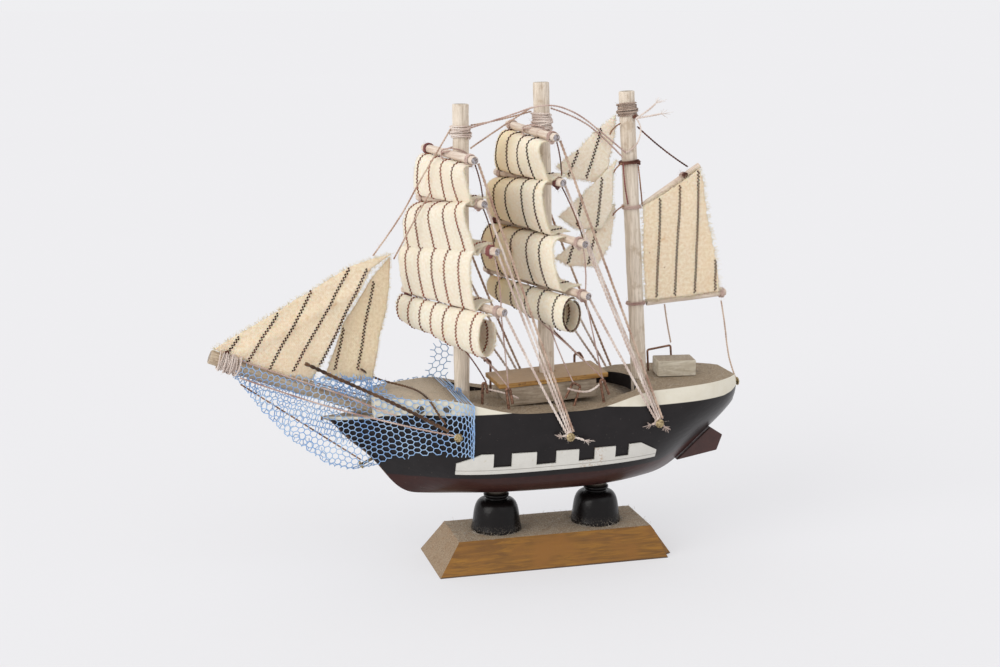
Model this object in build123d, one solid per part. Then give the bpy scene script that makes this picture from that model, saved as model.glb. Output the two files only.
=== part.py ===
"""Souvenir model of a three-masted sailing ship on a wooden display stand.

Millimetres. +X points to the bow, +Y to port and +Z up. The origin is the centre of the
stand's underside, so the ship stands on the plane z = 0.
"""
from build123d import *
import math
import os

# Driving dimensions -------------------------------------------------------------------

STAND_LENGTH = 90.0
STAND_WIDTH = 33.8
STAND_HEIGHT = 11.7
STAND_TOP_LENGTH = 73.6
STAND_TOP_WIDTH = 24.7

PEDESTAL_X = {"fore": 19.7, "aft": -19.1}
POST_RADIUS = 3.1
POST_SINK = 7.0

KEEL_Z = 28.0
BLOCK_TOP = 70.0
DECK_Z = 60.8
FORECASTLE_Z = 66.3
POOP_Z = 66.0
POOP_EDGE_Z = 66.8
BEAK_TOP_Z = 59.0
BOW_FACE_X = 66.3

MAST_RADIUS = 2.9
MAST_SINK = 14.0
CLEARANCE = 0.1

YARD_RADIUS = 1.5
YARD_GAP = 0.15
SAIL_THICKNESS = 0.6
SAIL_GAP = 0.3

THREAD = 0.6
BRACE = 0.9
TWINE = 1.3
NAIL_HEAD_RADIUS = 1.65
NAIL_RADIUS = 0.55

# Table of offsets: at each station x the keel's height and half width, then the half
# widths and heights of the bilge and of the widest line, and the half width at the top.
STATIONS = [
    (84.3, 57.6, 0.40, 0.60, 60.6, 0.75, 64.4, 0.9),
    (78.0, 53.6, 0.45, 1.20, 55.4, 2.10, 59.2, 3.0),
    (72.0, 47.6, 0.60, 2.00, 51.4, 3.80, 57.2, 5.0),
    (66.0, 42.0, 0.70, 3.00, 47.4, 5.80, 55.0, 7.4),
    (60.0, 34.4, 0.90, 4.40, 42.2, 8.80, 53.0, 10.8),
    (54.0, 29.4, 1.50, 6.60, 38.2, 12.4, 51.5, 14.0),
    (46.0, 28.2, 2.50, 9.80, 35.4, 16.6, 50.4, 17.2),
    (36.0, 28.0, 4.50, 13.8, 33.8, 20.2, 49.6, 20.3),
    (20.0, 28.0, 6.50, 17.2, 33.2, 22.4, 49.0, 22.0),
    (0.0, 28.0, 7.00, 18.2, 33.2, 23.0, 49.0, 22.4),
    (-20.0, 28.2, 6.50, 17.4, 33.8, 22.6, 50.0, 21.8),
    (-34.0, 28.8, 4.50, 14.2, 35.2, 21.4, 51.2, 20.9),
    (-44.0, 30.6, 2.50, 10.4, 37.4, 19.6, 52.6, 19.6),
    (-52.0, 35.2, 1.40, 7.80, 41.4, 17.6, 54.2, 18.0),
    (-60.0, 42.0, 1.00, 6.60, 46.6, 14.8, 56.2, 15.4),
    (-67.0, 48.2, 0.90, 5.20, 51.4, 11.0, 58.0, 10.4),
    (-71.5, 52.6, 0.70, 3.20, 54.8, 6.40, 59.0, 5.2),
    (-73.5, 55.0, 0.40, 0.90, 56.2, 1.60, 58.8, 1.2),
]

# Masts: foot and top of each axis, all on the centre plane.
MASTS = {
    "fore": ((32.6, 60.8), (32.6, 168.4)),
    "main": ((0.2, 60.8), (3.2, 175.6)),
    "mizzen": ((-35.5, 65.9), (-28.8, 172.0)),
}

# Yards: height, slew about the mast with the port end aft, tilt with the port end up,
# length to starboard and length to port.
YARDS = {
    "fore_yard_1": ("fore", 151.1, 10.3, -1.3, 22.1, 21.9),
    "fore_yard_2": ("fore", 134.7, 18.7, 2.4, 21.7, 22.3),
    "fore_yard_3": ("fore", 119.2, 28.0, 0.0, 24.0, 24.0),
    "fore_yard_4": ("fore", 99.0, 26.7, -0.9, 27.7, 28.3),
    "main_yard_1": ("main", 158.7, 7.8, -2.6, 19.8, 22.2),
    "main_yard_2": ("main", 141.9, 17.0, 0.0, 24.3, 19.7),
    "main_yard_3": ("main", 123.4, 18.7, -3.0, 26.9, 31.1),
    "main_yard_4": ("main", 104.3, 22.0, -2.0, 30.0, 30.0),
}

# Square sails: upper yard, lower yard, reach to starboard, reach to port and billow.
SQUARE_SAILS = {
    "fore_sail_1": ("fore_yard_1", "fore_yard_2", 19.5, 19.5, 4.6),
    "fore_sail_2": ("fore_yard_2", "fore_yard_3", 19.5, 18.5, 6.6),
    "fore_sail_3": ("fore_yard_3", "fore_yard_4", 21.5, 18.0, 7.4),
    "main_sail_1": ("main_yard_1", "main_yard_2", 17.5, 17.0, 6.0),
    "main_sail_2": ("main_yard_2", "main_yard_3", 21.0, 17.0, 7.2),
    "main_sail_3": ("main_yard_3", "main_yard_4", 24.0, 21.5, 7.6),
}

# Rolled sails: yard, reach to starboard, reach to port, depth and height of the roll.
ROLLED_SAILS = {
    "fore_sail_4": ("fore_yard_4", 25.5, 24.0, 9.0, 15.0),
    "main_sail_4": ("main_yard_4", 21.0, 25.5, 8.5, 12.6),
}

# Flat sails on the centre plane, as corners in X and Z.
FLAT_SAILS = {
    "outer_jib": [(121.0, 85.6), (98.8, 98.0), (72.8, 112.6), (66.0, 114.6), (58.0, 116.2),
                  (65.4, 111.4), (75.2, 94.5), (87.8, 72.9), (102.0, 78.4), (116.9, 84.0)],
    "inner_jib": [(58.1, 115.0), (58.6, 106.7), (59.8, 96.6), (62.1, 88.4), (64.9, 74.8),
                  (74.0, 74.4), (83.0, 74.2), (75.4, 91.7), (64.7, 108.4)],
    "staysail_upper": [(-25.0, 163.6), (-16.0, 157.0), (-10.4, 151.3), (-2.4, 145.6),
                       (-7.1, 141.3), (-20.8, 139.1), (-22.2, 147.4), (-24.6, 157.0)],
    "staysail_middle": [(-25.2, 147.6), (-15.4, 138.5), (-9.8, 133.3), (-3.4, 127.4),
                        (-10.7, 122.7), (-19.4, 122.7), (-23.2, 129.2), (-24.1, 143.7)],
    "staysail_lower": [(-25.5, 131.4), (-15.6, 122.9), (-8.1, 116.2), (-2.4, 112.2),
                       (-8.1, 109.2), (-18.5, 108.4), (-23.4, 116.3), (-24.6, 123.6)],
    "spanker_sail": [(-38.0, 129.6), (-57.6, 142.0), (-61.2, 124.2), (-63.5, 114.7),
                     (-66.0, 99.2), (-38.8, 97.0)],
}
SAIL_Y = {"outer_jib": 0.0, "inner_jib": -1.6, "staysail_upper": 0.0,
          "staysail_middle": 1.0, "staysail_lower": -1.0, "spanker_sail": 0.0}

GAFF = ((-35.9, 0.0, 130.2), (-57.6, 0.0, 144.6))
BOOM = ((-37.9, 0.0, 94.4), (-69.3, 0.0, 96.7))

HOUSE = {"fore_x": 17.4, "aft_x": -15.4, "starboard_y": -7.6, "port_y": 11.4, "height": 6.9}
HOUSE_TILT = 3.0
ROOF = {"fore_x": 21.3, "aft_x": -19.8, "starboard_y": -8.2, "port_y": 12.0, "height": 1.8}

SIDE_NAILS = {"bow": (39.2, 53.6), "waist": (-0.8, 52.0), "quarter": (-35.1, 54.2)}
SIDE_NAIL_STAND = 2.6
BRACE_STAND = 1.7
BRACE_BOW_OUT = 2.2

BOWSPRIT = ((58.0, 0.0, 57.0), (122.6, 0.0, 82.9))
BOWSPRIT_RADIUS = 2.5


# Building blocks ----------------------------------------------------------------------

def rod(start, end, radius):
    """A round bar between two points."""
    start = Vector(*start)
    along = Vector(*end) - start
    plane = Plane(origin=start, z_dir=along)
    return Solid.make_cylinder(radius, along.length, plane)


def ring(centre, along, inner, outer, length):
    """A short tube centred on a point of a bar."""
    along = Vector(*along).normalized()
    start = Vector(*centre) - along * (length / 2)
    end = Vector(*centre) + along * (length / 2)
    whole = rod(start.to_tuple(), end.to_tuple(), outer)
    return whole - rod((start - along).to_tuple(), (end + along).to_tuple(), inner)


def thread(name, points, diameter):
    """A round line along straight runs joined by tangent arcs, as large as the runs allow."""
    points = [Vector(*point) for point in points]
    if len(points) == 2:
        return rod(points[0].to_tuple(), points[1].to_tuple(), diameter / 2)
    radii = []
    for before, corner, after in zip(points, points[1:], points[2:]):
        turn = math.radians((corner - before).get_angle(after - corner))
        shorter = min((corner - before).length, (after - corner).length)
        radii.append(0.45 * shorter / math.tan(turn / 2))
    print(name, "arc radii:", ", ".join(f"{radius:.1f}" for radius in radii))
    path = FilletPolyline(*points, radius=radii)
    section = Plane(origin=path @ 0, z_dir=path % 0) * Circle(diameter / 2)
    tube = sweep(section, path=path)
    expected = math.pi * (diameter / 2) ** 2 * path.length
    print(name, f"volume {tube.volume:.2f}, section times length {expected:.2f}")
    return tube


def prism(corners, y_low, y_high):
    """A plate with an outline in X and Z, between two values of Y."""
    outline = Polyline(*[(x, y_low, z) for x, z in corners], close=True)
    return Solid.extrude(Face(Wire(outline.edges())), Vector(0, y_high - y_low, 0))


def solids_of(*shapes):
    """Every separate solid of some shapes, in one list."""
    found = []
    for shape in shapes:
        found.extend(shape.solids())
    return found


def save(node, *shapes):
    """Write one node's solids to its own file."""
    solids = solids_of(*shapes)
    shape = solids[0] if len(solids) == 1 else Compound(children=solids)
    shape.label = node
    export_step(shape, os.path.join("parts", node + ".step"))


# Stand --------------------------------------------------------------------------------

def base_block():
    """The bevelled wooden block, with one bottom corner chipped off."""
    bottom = Plane.XY * Rectangle(STAND_LENGTH, STAND_WIDTH)
    top = Plane.XY.offset(STAND_HEIGHT) * Rectangle(STAND_TOP_LENGTH, STAND_TOP_WIDTH)
    block = loft([bottom.face(), top.face()], ruled=True)
    chip = Box(6.0, 9.0, 20.0)
    corner = Location((-STAND_LENGTH / 2 - 0.4, STAND_WIDTH / 2 - 0.2, 2.0), (12, 18, 28))
    block = block - corner * chip
    for x in PEDESTAL_X.values():
        block = block - rod((x, 0, STAND_HEIGHT - POST_SINK), (x, 0, 40), POST_RADIUS + 0.05)
    return block


def pedestal(x):
    """A turned bell with a collar, bored for the post that joins stand and hull."""
    bottom = STAND_HEIGHT
    with BuildSketch(Plane.XZ) as half:
        with BuildLine():
            Polyline((POST_RADIUS + 0.05, bottom), (9.4, bottom), (9.3, bottom + 1.0))
            Spline((9.3, bottom + 1.0), (8.7, bottom + 4.2), (8.1, bottom + 8.0),
                   (6.9, bottom + 10.6), (4.8, bottom + 11.6))
            ThreePointArc((4.8, bottom + 11.6), (4.0, bottom + 11.9), (4.3, bottom + 12.6))
            ThreePointArc((4.3, bottom + 12.6), (4.75, bottom + 13.2), (4.3, bottom + 13.8))
            Polyline((4.3, bottom + 13.8), (3.5, bottom + 14.3), (3.5, bottom + 14.8),
                     (POST_RADIUS + 0.05, bottom + 14.8), (POST_RADIUS + 0.05, bottom))
        make_face()
    turned = revolve(half.sketch, axis=Axis.Z)
    return Location((x, 0, 0)) * turned


def post(x):
    """The dowel through one pedestal, glued into the stand and the hull."""
    return rod((x, 0, STAND_HEIGHT - POST_SINK), (x, 0, KEEL_Z + POST_SINK), POST_RADIUS)


# Hull ---------------------------------------------------------------------------------

def station_face(station, extra):
    """The closed cross-section at one station, with both sides moved out by extra."""
    x, keel_z, keel_y, bilge_y, bilge_z, side_y, side_z, top_y = station
    half = [(keel_y + extra / 2, keel_z - extra / 2), (bilge_y + extra, bilge_z - extra / 4),
            (side_y + extra, side_z), (top_y + extra, BLOCK_TOP)]
    port = Edge.make_spline([Vector(x, y, z) for y, z in half])
    starboard = Edge.make_spline([Vector(x, -y, z) for y, z in half])
    keel = Edge.make_line(Vector(x, half[0][0], half[0][1]), Vector(x, -half[0][0], half[0][1]))
    top = Edge.make_line(Vector(x, half[-1][0], BLOCK_TOP), Vector(x, -half[-1][0], BLOCK_TOP))
    return Face(Wire([port, top, starboard, keel]))


def hull_block(extra=0.0):
    """The carved block before its decks are cut, through every station."""
    return loft([station_face(station, extra) for station in STATIONS])


def above_sheer():
    """Everything over the deck line, from the raked stern to the beak."""
    aft = Polyline((-90, 0, 20), (-78.0, 0, 40), (-73.4, 0, 57.0), (-70.6, 0, POOP_EDGE_Z))
    poop = Line((-70.6, 0, POOP_EDGE_Z), (-33.5, 0, POOP_Z))
    waist = Spline((-33.5, 0, POOP_Z), (-26.0, 0, 64.5), (-14.0, 0, 61.4), (3.0, 0, 60.7),
                   (19.5, 0, 61.3), (28.0, 0, 63.2), (35.0, 0, 65.1), (41.0, 0, FORECASTLE_Z))
    bow = Polyline((41.0, 0, FORECASTLE_Z), (BOW_FACE_X, 0, FORECASTLE_Z + 0.3),
                   (BOW_FACE_X, 0, BEAK_TOP_Z), (95, 0, BEAK_TOP_Z - 0.2), (95, 0, 90),
                   (-90, 0, 90), (-90, 0, 20))
    wire = Wire(aft.edges() + poop.edges() + waist.edges() + bow.edges())
    return Location((0, -40, 0)) * Solid.extrude(Face(wire), Vector(0, 80, 0))


def waist_cut():
    """The step down from forecastle and poop to the main deck, hollowed aft."""
    half_width = 15.6
    with BuildSketch(Plane.XY.offset(DECK_Z)) as plan:
        with BuildLine():
            Line((35.6, -half_width), (35.6, half_width))
            Line((35.6, half_width), (-28.0, half_width))
            ThreePointArc((-28.0, half_width), (-33.2, 0), (-28.0, -half_width))
            Line((-28.0, -half_width), (35.6, -half_width))
        make_face()
    return extrude(plan.sketch, amount=20)


def hull():
    """The solid hull, bored for the masts, the bowsprit, the posts and the nails."""
    body = hull_block() - above_sheer() - waist_cut()
    for (foot_x, foot_z), (top_x, top_z) in MASTS.values():
        lean = (top_x - foot_x) / (top_z - foot_z)
        low = (foot_x - lean * MAST_SINK, 0, foot_z - MAST_SINK)
        high = (foot_x + lean * 20, 0, foot_z + 20)
        body = body - rod(low, high, MAST_RADIUS + CLEARANCE)
    for x in PEDESTAL_X.values():
        body = body - rod((x, 0, 10), (x, 0, KEEL_Z + POST_SINK), POST_RADIUS + 0.05)
    body = body - rod(*BOWSPRIT, BOWSPRIT_RADIUS + CLEARANCE)
    return body


def gunport_strip(block, side):
    """The white crenellated strip that follows one side of the hull."""
    low_fore, low_aft = 38.6, 40.1
    band = 2.6
    tooth_top = 46.6
    spans = [(39.1, 26.4), (19.8, 10.9), (3.5, -4.8), (-10.9, -18.8), (-24.2, -35.8)]
    fore, aft = spans[0][0], spans[-1][1]
    slope = (low_aft - low_fore) / (aft - fore)

    def low(x):
        return low_fore + slope * (x - fore)

    pieces = prism([(fore, low(fore)), (aft, low(aft)), (aft, low(aft) + band),
                    (fore, low(fore) + band)], 0, side * 40)
    for index, (front, back) in enumerate(spans):
        corners = [(front, low(front)), (back, low(back)), (back, tooth_top), (front, tooth_top)]
        if index == 0:
            corners = [(front, low(front)), (back, low(back)), (back, tooth_top),
                       (30.6, tooth_top), (front, low(front) + 4.5)]
        if index == len(spans) - 1:
            corners = [(front, low(front)), (back, low(back)), (back, low(back) + 3.0),
                       (-29.0, tooth_top + 0.3), (front, tooth_top + 0.2)]
        pieces = pieces + prism(corners, 0, side * 40)
    return (hull_block(0.8) - block) & pieces


def rudder():
    """The flat rudder board, glued under the counter."""
    outline = [(-62.4, 43.2), (-64.3, 44.9), (-69.3, 41.6), (-67.1, 35.7), (-51.0, 32.9),
               (-52.6, 34.4)]
    return prism(outline, -1.5, 1.5) - hull_block(0.05)


# Deck fittings ------------------------------------------------------------------------

def tilted(shape):
    """Tip a deckhouse piece up at its stern end, about the fore bottom edge of the walls."""
    pivot = Location((HOUSE["fore_x"], 0, DECK_Z + 0.1))
    return pivot * Rot(0, HOUSE_TILT, 0) * pivot.inverse() * shape


def board(sizes, bottom):
    """A rectangular block with its bottom at a given height."""
    length = sizes["fore_x"] - sizes["aft_x"]
    width = sizes["port_y"] - sizes["starboard_y"]
    centre = ((sizes["fore_x"] + sizes["aft_x"]) / 2,
              (sizes["port_y"] + sizes["starboard_y"]) / 2, bottom + sizes["height"] / 2)
    return Location(centre) * Box(length, width, sizes["height"])


def main_mast_bore():
    """Room for the main mast through the deckhouse."""
    (foot_x, foot_z), (top_x, top_z) = MASTS["main"]
    return rod((foot_x, 0, foot_z), (top_x, 0, top_z), MAST_RADIUS + CLEARANCE)


def deckhouse_block():
    return tilted(board(HOUSE, DECK_Z + 0.1)) - main_mast_bore()


def deckhouse_roof():
    return tilted(board(ROOF, DECK_Z + 0.1 + HOUSE["height"])) - main_mast_bore()


def deck_box():
    """The small hatch box on the poop, set slightly askew and resting on the deck."""
    box = Location((-49.5, 0.0, 69.55), (0, 0, -8)) * Box(14.4, 10.2, 6.0)
    return box - hull_block_under_poop()


def hull_block_under_poop():
    """The space below the poop deck's surface, which slopes up to the stern."""
    return prism([(-75, 60), (-30, 60), (-33.5, POOP_Z), (-70.6, POOP_EDGE_Z)], -20, 20)


def nail(point, outward, stand, head_radius=NAIL_HEAD_RADIUS):
    """A round-headed nail standing out of a surface, its shank sunk into the wood."""
    point = Vector(*point)
    outward = Vector(*outward).normalized()
    inner = (point - outward * 3.0).to_tuple()
    outer = (point + outward * stand).to_tuple()
    head_end = (point + outward * (stand + 0.9)).to_tuple()
    return rod(inner, outer, NAIL_RADIUS) + rod(outer, head_end, head_radius)


def wire(points, diameter):
    """A bent wire with tight rounded corners, for the staples and the wire frame."""
    path = FilletPolyline(*points, radius=0.7)
    section = Plane(origin=path @ 0, z_dir=path % 0) * Circle(diameter / 2)
    return sweep(section, path=path)


def deck_staples():
    """Copper wire hooks and staples driven into the deck beside the rigging."""
    low = DECK_Z - 2.0
    return [
        wire([(27.4, 9.0, low), (27.2, 9.4, 69.4), (26.2, 9.8, 70.4), (25.6, 10.0, 66.0)], 1.0),
        wire([(19.0, 16.4, low), (20.2, 15.8, 68.4), (19.0, 15.9, 69.2), (18.0, 16.4, 63.2)], 1.1),
        wire([(-4.6, 15.6, low), (-7.9, 14.6, 67.6), (-5.2, 14.2, 69.0), (-2.4, 14.2, 63.4)], 0.9),
        wire([(-16.5, 17.4, low), (-14.6, 17.0, 69.6), (-15.6, 17.0, 70.8), (-17.8, 17.6, 64.6)], 1.0),
        wire([(18.6, -12.6, low), (18.6, -12.4, 72.2), (19.8, -12.3, 73.2), (21.2, -12.0, 72.8)], 0.9),
        wire([(-14.4, -12.6, low), (-14.2, -12.6, 73.0), (-16.2, -12.6, 73.8), (-17.6, -12.5, 71.4)], 0.9),
    ]


def wire_frame():
    """The bent wire gallows behind the deck box that holds the boom guy."""
    return wire([(-42.4, -8.0, 62.8), (-41.7, -8.0, 74.3), (-51.0, -8.0, 75.6),
                 (-52.0, -8.0, 63.0)], 0.8)


# Spars --------------------------------------------------------------------------------

def mast_axis(name, z):
    """The X of a mast's axis at a height."""
    (foot_x, foot_z), (top_x, top_z) = MASTS[name]
    return foot_x + (top_x - foot_x) * (z - foot_z) / (top_z - foot_z)


def mast(name):
    (foot_x, foot_z), (top_x, top_z) = MASTS[name]
    low_z = foot_z - MAST_SINK + 0.5
    return rod((mast_axis(name, low_z), 0, low_z), (top_x, 0, top_z), MAST_RADIUS)


def yard_point(name, reach, forward=0.0, drop=0.0):
    """A point on a yard's axis, measured to port from the mast, or moved off that axis."""
    mast_name, z, slew, tilt, _, _ = YARDS[name]
    slew, tilt = math.radians(slew), math.radians(tilt)
    standoff = MAST_RADIUS + YARD_GAP + YARD_RADIUS + forward
    return (
        mast_axis(mast_name, z) + standoff * math.cos(slew)
        - reach * math.sin(slew) * math.cos(tilt),
        standoff * math.sin(slew) + reach * math.cos(slew) * math.cos(tilt),
        z + reach * math.sin(tilt) - drop,
    )


def yard(name):
    starboard, port = YARDS[name][4:]
    return rod(yard_point(name, -starboard), yard_point(name, port), YARD_RADIUS)


def yard_lashings(mast_name):
    """Thread windings: two near the ends of each yard and one round it at the mast."""
    rings = []
    for name, (owner, _, _, _, starboard, port) in YARDS.items():
        if owner != mast_name:
            continue
        low, high = Vector(*yard_point(name, 0)), Vector(*yard_point(name, 1))
        for reach in (3.6 - starboard, port - 3.6):
            rings.append(ring(yard_point(name, reach), (high - low).to_tuple(),
                              YARD_RADIUS + 0.02, YARD_RADIUS + 0.45, 1.9))
    return rings


def mast_windings():
    """Thread wound round the masts and the bowsprit, where the stays are made fast."""
    places = [("fore", 158.6, 5.0), ("main", 167.4, 4.4), ("mizzen", 165.2, 5.0),
              ("mizzen", 146.4, 1.6)]
    rings = []
    for name, z, height in places:
        low, high = (mast_axis(name, z), 0, z), (mast_axis(name, z + 1), 0, z + 1)
        along = (Vector(*high) - Vector(*low)).to_tuple()
        rings.append(ring(low, along, MAST_RADIUS + 0.02, MAST_RADIUS + 0.6, height))
    tip, butt = Vector(*BOWSPRIT[1]), Vector(*BOWSPRIT[0])
    along = (tip - butt).normalized()
    rings.append(ring((tip - along * 7.4).to_tuple(), along.to_tuple(),
                      BOWSPRIT_RADIUS + 0.02, BOWSPRIT_RADIUS + 0.8, 7.0))
    return rings


def spar_loops():
    """Thread loops that hang the gaff and the boom on the mizzen mast."""
    rings = []
    for z in (130.2, 94.4):
        low, high = (mast_axis("mizzen", z), 0, z), (mast_axis("mizzen", z + 1), 0, z + 1)
        along = (Vector(*high) - Vector(*low)).to_tuple()
        rings.append(ring(low, along, MAST_RADIUS + 0.12, MAST_RADIUS + 0.75, 1.2))
    return rings


# Sails and net ------------------------------------------------------------------------

def strip_section(top, bottom, forward, billow):
    """The curved cross-section of a sail between two points, bulging forward."""
    top, bottom, forward = Vector(*top), Vector(*bottom), Vector(*forward)
    inward = (bottom - top).normalized() * SAIL_THICKNESS
    middle = (top + bottom) * 0.5 + forward * billow
    front = Edge.make_three_point_arc(top, middle, bottom)
    back = Edge.make_three_point_arc(top + inward, middle - forward * SAIL_THICKNESS,
                                     bottom - inward)
    head = Edge.make_line(top, top + inward)
    foot = Edge.make_line(bottom, bottom - inward)
    return Face(Wire([front, foot, back, head]))


def square_sail(upper, lower, starboard, port, billow):
    """A square sail: its head hangs under one yard and its foot is laced over the next."""
    sections = []
    reach_below = YARD_RADIUS + SAIL_GAP
    for reach in (-starboard, port):
        top = yard_point(upper, reach, drop=reach_below)
        bottom = yard_point(lower, reach, drop=-reach_below)
        mean = math.radians((YARDS[upper][2] + YARDS[lower][2]) / 2)
        forward = (math.cos(mean), math.sin(mean), 0)
        sections.append(strip_section(top, bottom, forward, billow))
    return loft(sections, ruled=True)


def rolled_sail(name, starboard, port, depth, height):
    """A course whose foot has curled up behind it into a loose open roll."""
    slew, tilt = math.radians(YARDS[name][2]), math.radians(YARDS[name][3])
    along = Vector(-math.sin(slew) * math.cos(tilt), math.cos(slew) * math.cos(tilt),
                   math.sin(tilt))
    forward = Vector(math.cos(slew), math.sin(slew), 0)
    ahead = depth / 2 - YARD_RADIUS + 0.2
    start = Vector(*yard_point(name, -starboard, forward=ahead, drop=YARD_RADIUS + SAIL_GAP))
    plane = Plane(origin=start, x_dir=forward, z_dir=along)
    centre = plane.location * Location((0.0, height / 2, 0))
    if plane.y_dir.Z > 0:
        centre = plane.location * Location((0.0, -height / 2, 0))
    roll = Ellipse(depth / 2, height / 2) - Ellipse(depth / 2 - SAIL_THICKNESS,
                                                    height / 2 - SAIL_THICKNESS)
    slot = Location((-depth * 0.42, height * 0.26 * (1 if plane.y_dir.Z > 0 else -1)))
    section = centre * (roll - slot * Rectangle(depth * 0.5, height * 0.3))
    return extrude(section, amount=starboard + port, dir=along.to_tuple())


def flat_sail(name):
    middle = SAIL_Y[name]
    return prism(FLAT_SAILS[name], middle - SAIL_THICKNESS / 2, middle + SAIL_THICKNESS / 2)


def bow_net(side, wide, wider):
    """Netting over one bow: a skin on the hull and a curtain hung from the bowsprit."""
    skin = prism([(64.0, 61.0), (52.0, 66.2), (40.0, 66.2), (33.8, 64.2), (33.8, 46.8),
                  (44.0, 46.2), (54.0, 44.0), (62.0, 42.6), (66.0, 46.0)], 0, side * 40)
    curtain = [(112.0, 74.2), (104.0, 66.0), (96.0, 58.6), (88.0, 51.4), (80.0, 44.6),
               (73.0, 42.6), (75.4, 48.6), (80.0, 53.6), (86.2, 58.8), (86.0, 62.6),
               (100.0, 69.0)]
    panel = prism(curtain, side * 2.6, side * 3.3)
    return ((wider - wide) & skin) - above_sheer(), panel


# Rigging ------------------------------------------------------------------------------

def nail_point(place, side, stand):
    """A point on a side nail's shank."""
    x, z = SIDE_NAILS[place]
    return (x, side * (side_half_width(x, z) + stand), z)


def side_half_width(x, z):
    """The hull's half width near a side nail, between the stations on either side."""
    for after, before in zip(STATIONS, STATIONS[1:]):
        if before[0] <= x <= after[0]:
            share = (x - before[0]) / (after[0] - before[0])
            side_y = before[5] + (after[5] - before[5]) * share
            return side_y
    raise ValueError("no station beside this point")


def braces(mast_name, side, place):
    """Four taut lines from one side's yard ends down to that side's nail."""
    lines = []
    for index, (name, values) in enumerate(YARDS.items()):
        if values[0] != mast_name:
            continue
        reach = values[5] - 3.6 if side > 0 else 3.6 - values[4]
        x, y, z = yard_point(name, reach, forward=-1.2)
        start = (x - 1.6, y + side * 0.6, z - 1.4)
        nail_x, nail_y, nail_z = nail_point(place, side, BRACE_STAND)
        end = (nail_x + 0.9 * (index % 4 - 1.5), nail_y, nail_z + 1.6)
        sag = Vector(0.8, side * BRACE_BOW_OUT, -0.3)
        middle = ((Vector(*start) + Vector(*end)) * 0.5 + sag).to_tuple()
        lines.append(thread(f"{name} brace", [start, middle, end], BRACE))
    return lines


def forestays():
    return [
        thread("outer forestay", [(36.2, 0, 159.8), (41.2, 0, 151.6), (47.6, 0, 141.6),
                                  (54.9, 0, 128.3), (64.6, 0, 115.9)], THREAD),
        thread("inner forestay", [(41.4, 0, 136.4), (46.2, -0.6, 129.2), (51.4, -1.2, 121.4),
                                  (56.8, -1.6, 114.2)], THREAD),
    ]


def mast_stays():
    """The lines between the mastheads."""
    return [
        thread("fore to main stay", [(28.9, 0, 160.9), (18.3, 0, 162.3), (6.8, 0, 165.4)], THREAD),
        thread("lower fore to main stay", [(29.4, 1.2, 152.9), (18.6, 1.3, 160.0),
                                           (6.8, 1.3, 167.0)], THREAD),
        thread("long masthead stay", [(29.4, 2.0, 160.2), (17.8, 3.6, 163.6), (3.0, 4.0, 168.6),
                                      (-8.4, 3.8, 165.4), (-19.4, 3.4, 157.0),
                                      (-27.8, 3.0, 150.2)], THREAD),
        thread("main to mizzen stay", [(-0.4, 0, 166.4), (-10.6, 0.6, 163.0),
                                       (-20.0, 1.8, 155.6), (-27.0, 2.6, 148.4)], THREAD),
    ]


def bow_rigging(side):
    """The bowsprit shrouds of one side, round the bow flare to the hull."""
    low = [(112.6, side * 2.9, 75.4), (92.0, side * 3.9, 66.9), (73.6, side * 5.6, 60.6),
           (59.6, side * 12.0, 57.6), (49.0, side * 17.8, 55.6), (40.4, side * 21.0, 54.2)]
    high = [(111.8, side * 1.9, 81.2), (92.0, side * 2.6, 73.0), (77.0, side * 3.6, 67.4),
            (67.0, side * 8.6, 63.2), (59.4, side * 12.6, 60.6)]
    return [thread("bowsprit shroud", low, THREAD), thread("upper bowsprit shroud", high, THREAD)]


def bobstay():
    return thread("bobstay", [(112.2, 0, 72.4), (92.0, 0, 57.6), (70.2, 0, 41.8)], THREAD)


def jib_sheets():
    """Stiff dark twine from the jibs' clews to the port bow."""
    first = [(89.8, 3.0, 79.2), (79.2, 5.6, 73.8), (68.4, 9.6, 69.0), (59.0, 14.8, 64.8),
             (50.4, 18.8, 60.4), (42.6, 21.4, 56.0)]
    second = [(69.6, 0.4, 75.4), (65.4, -3.4, 71.6), (60.0, -5.6, 68.9), (54.4, -4.2, 67.6),
              (50.8, 3.4, 67.6), (49.6, 11.4, 67.7), (48.2, 18.0, 66.4), (46.2, 20.4, 62.4),
              (43.6, 21.2, 58.6)]
    return [thread("first jib sheet", first, TWINE), thread("second jib sheet", second, 0.8)]


def topping_lift():
    return thread("topping lift", [(-33.2, 0, 159.2), (-42.6, 0, 150.6), (-53.0, 0, 144.2)], THREAD)


def boom_sheet():
    return thread("boom sheet", [(-67.8, 0, 93.4), (-69.4, 0, 85.6), (-70.6, 0, 76.6),
                                 (-72.2, 0, 69.0), (-74.6, 0, 63.4)], THREAD)


def boom_guy():
    return thread("boom guy", [(-45.4, -0.6, 93.0), (-47.2, -3.2, 86.4), (-51.0, -7.8, 76.8)],
                  THREAD)


# Everything ---------------------------------------------------------------------------

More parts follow.
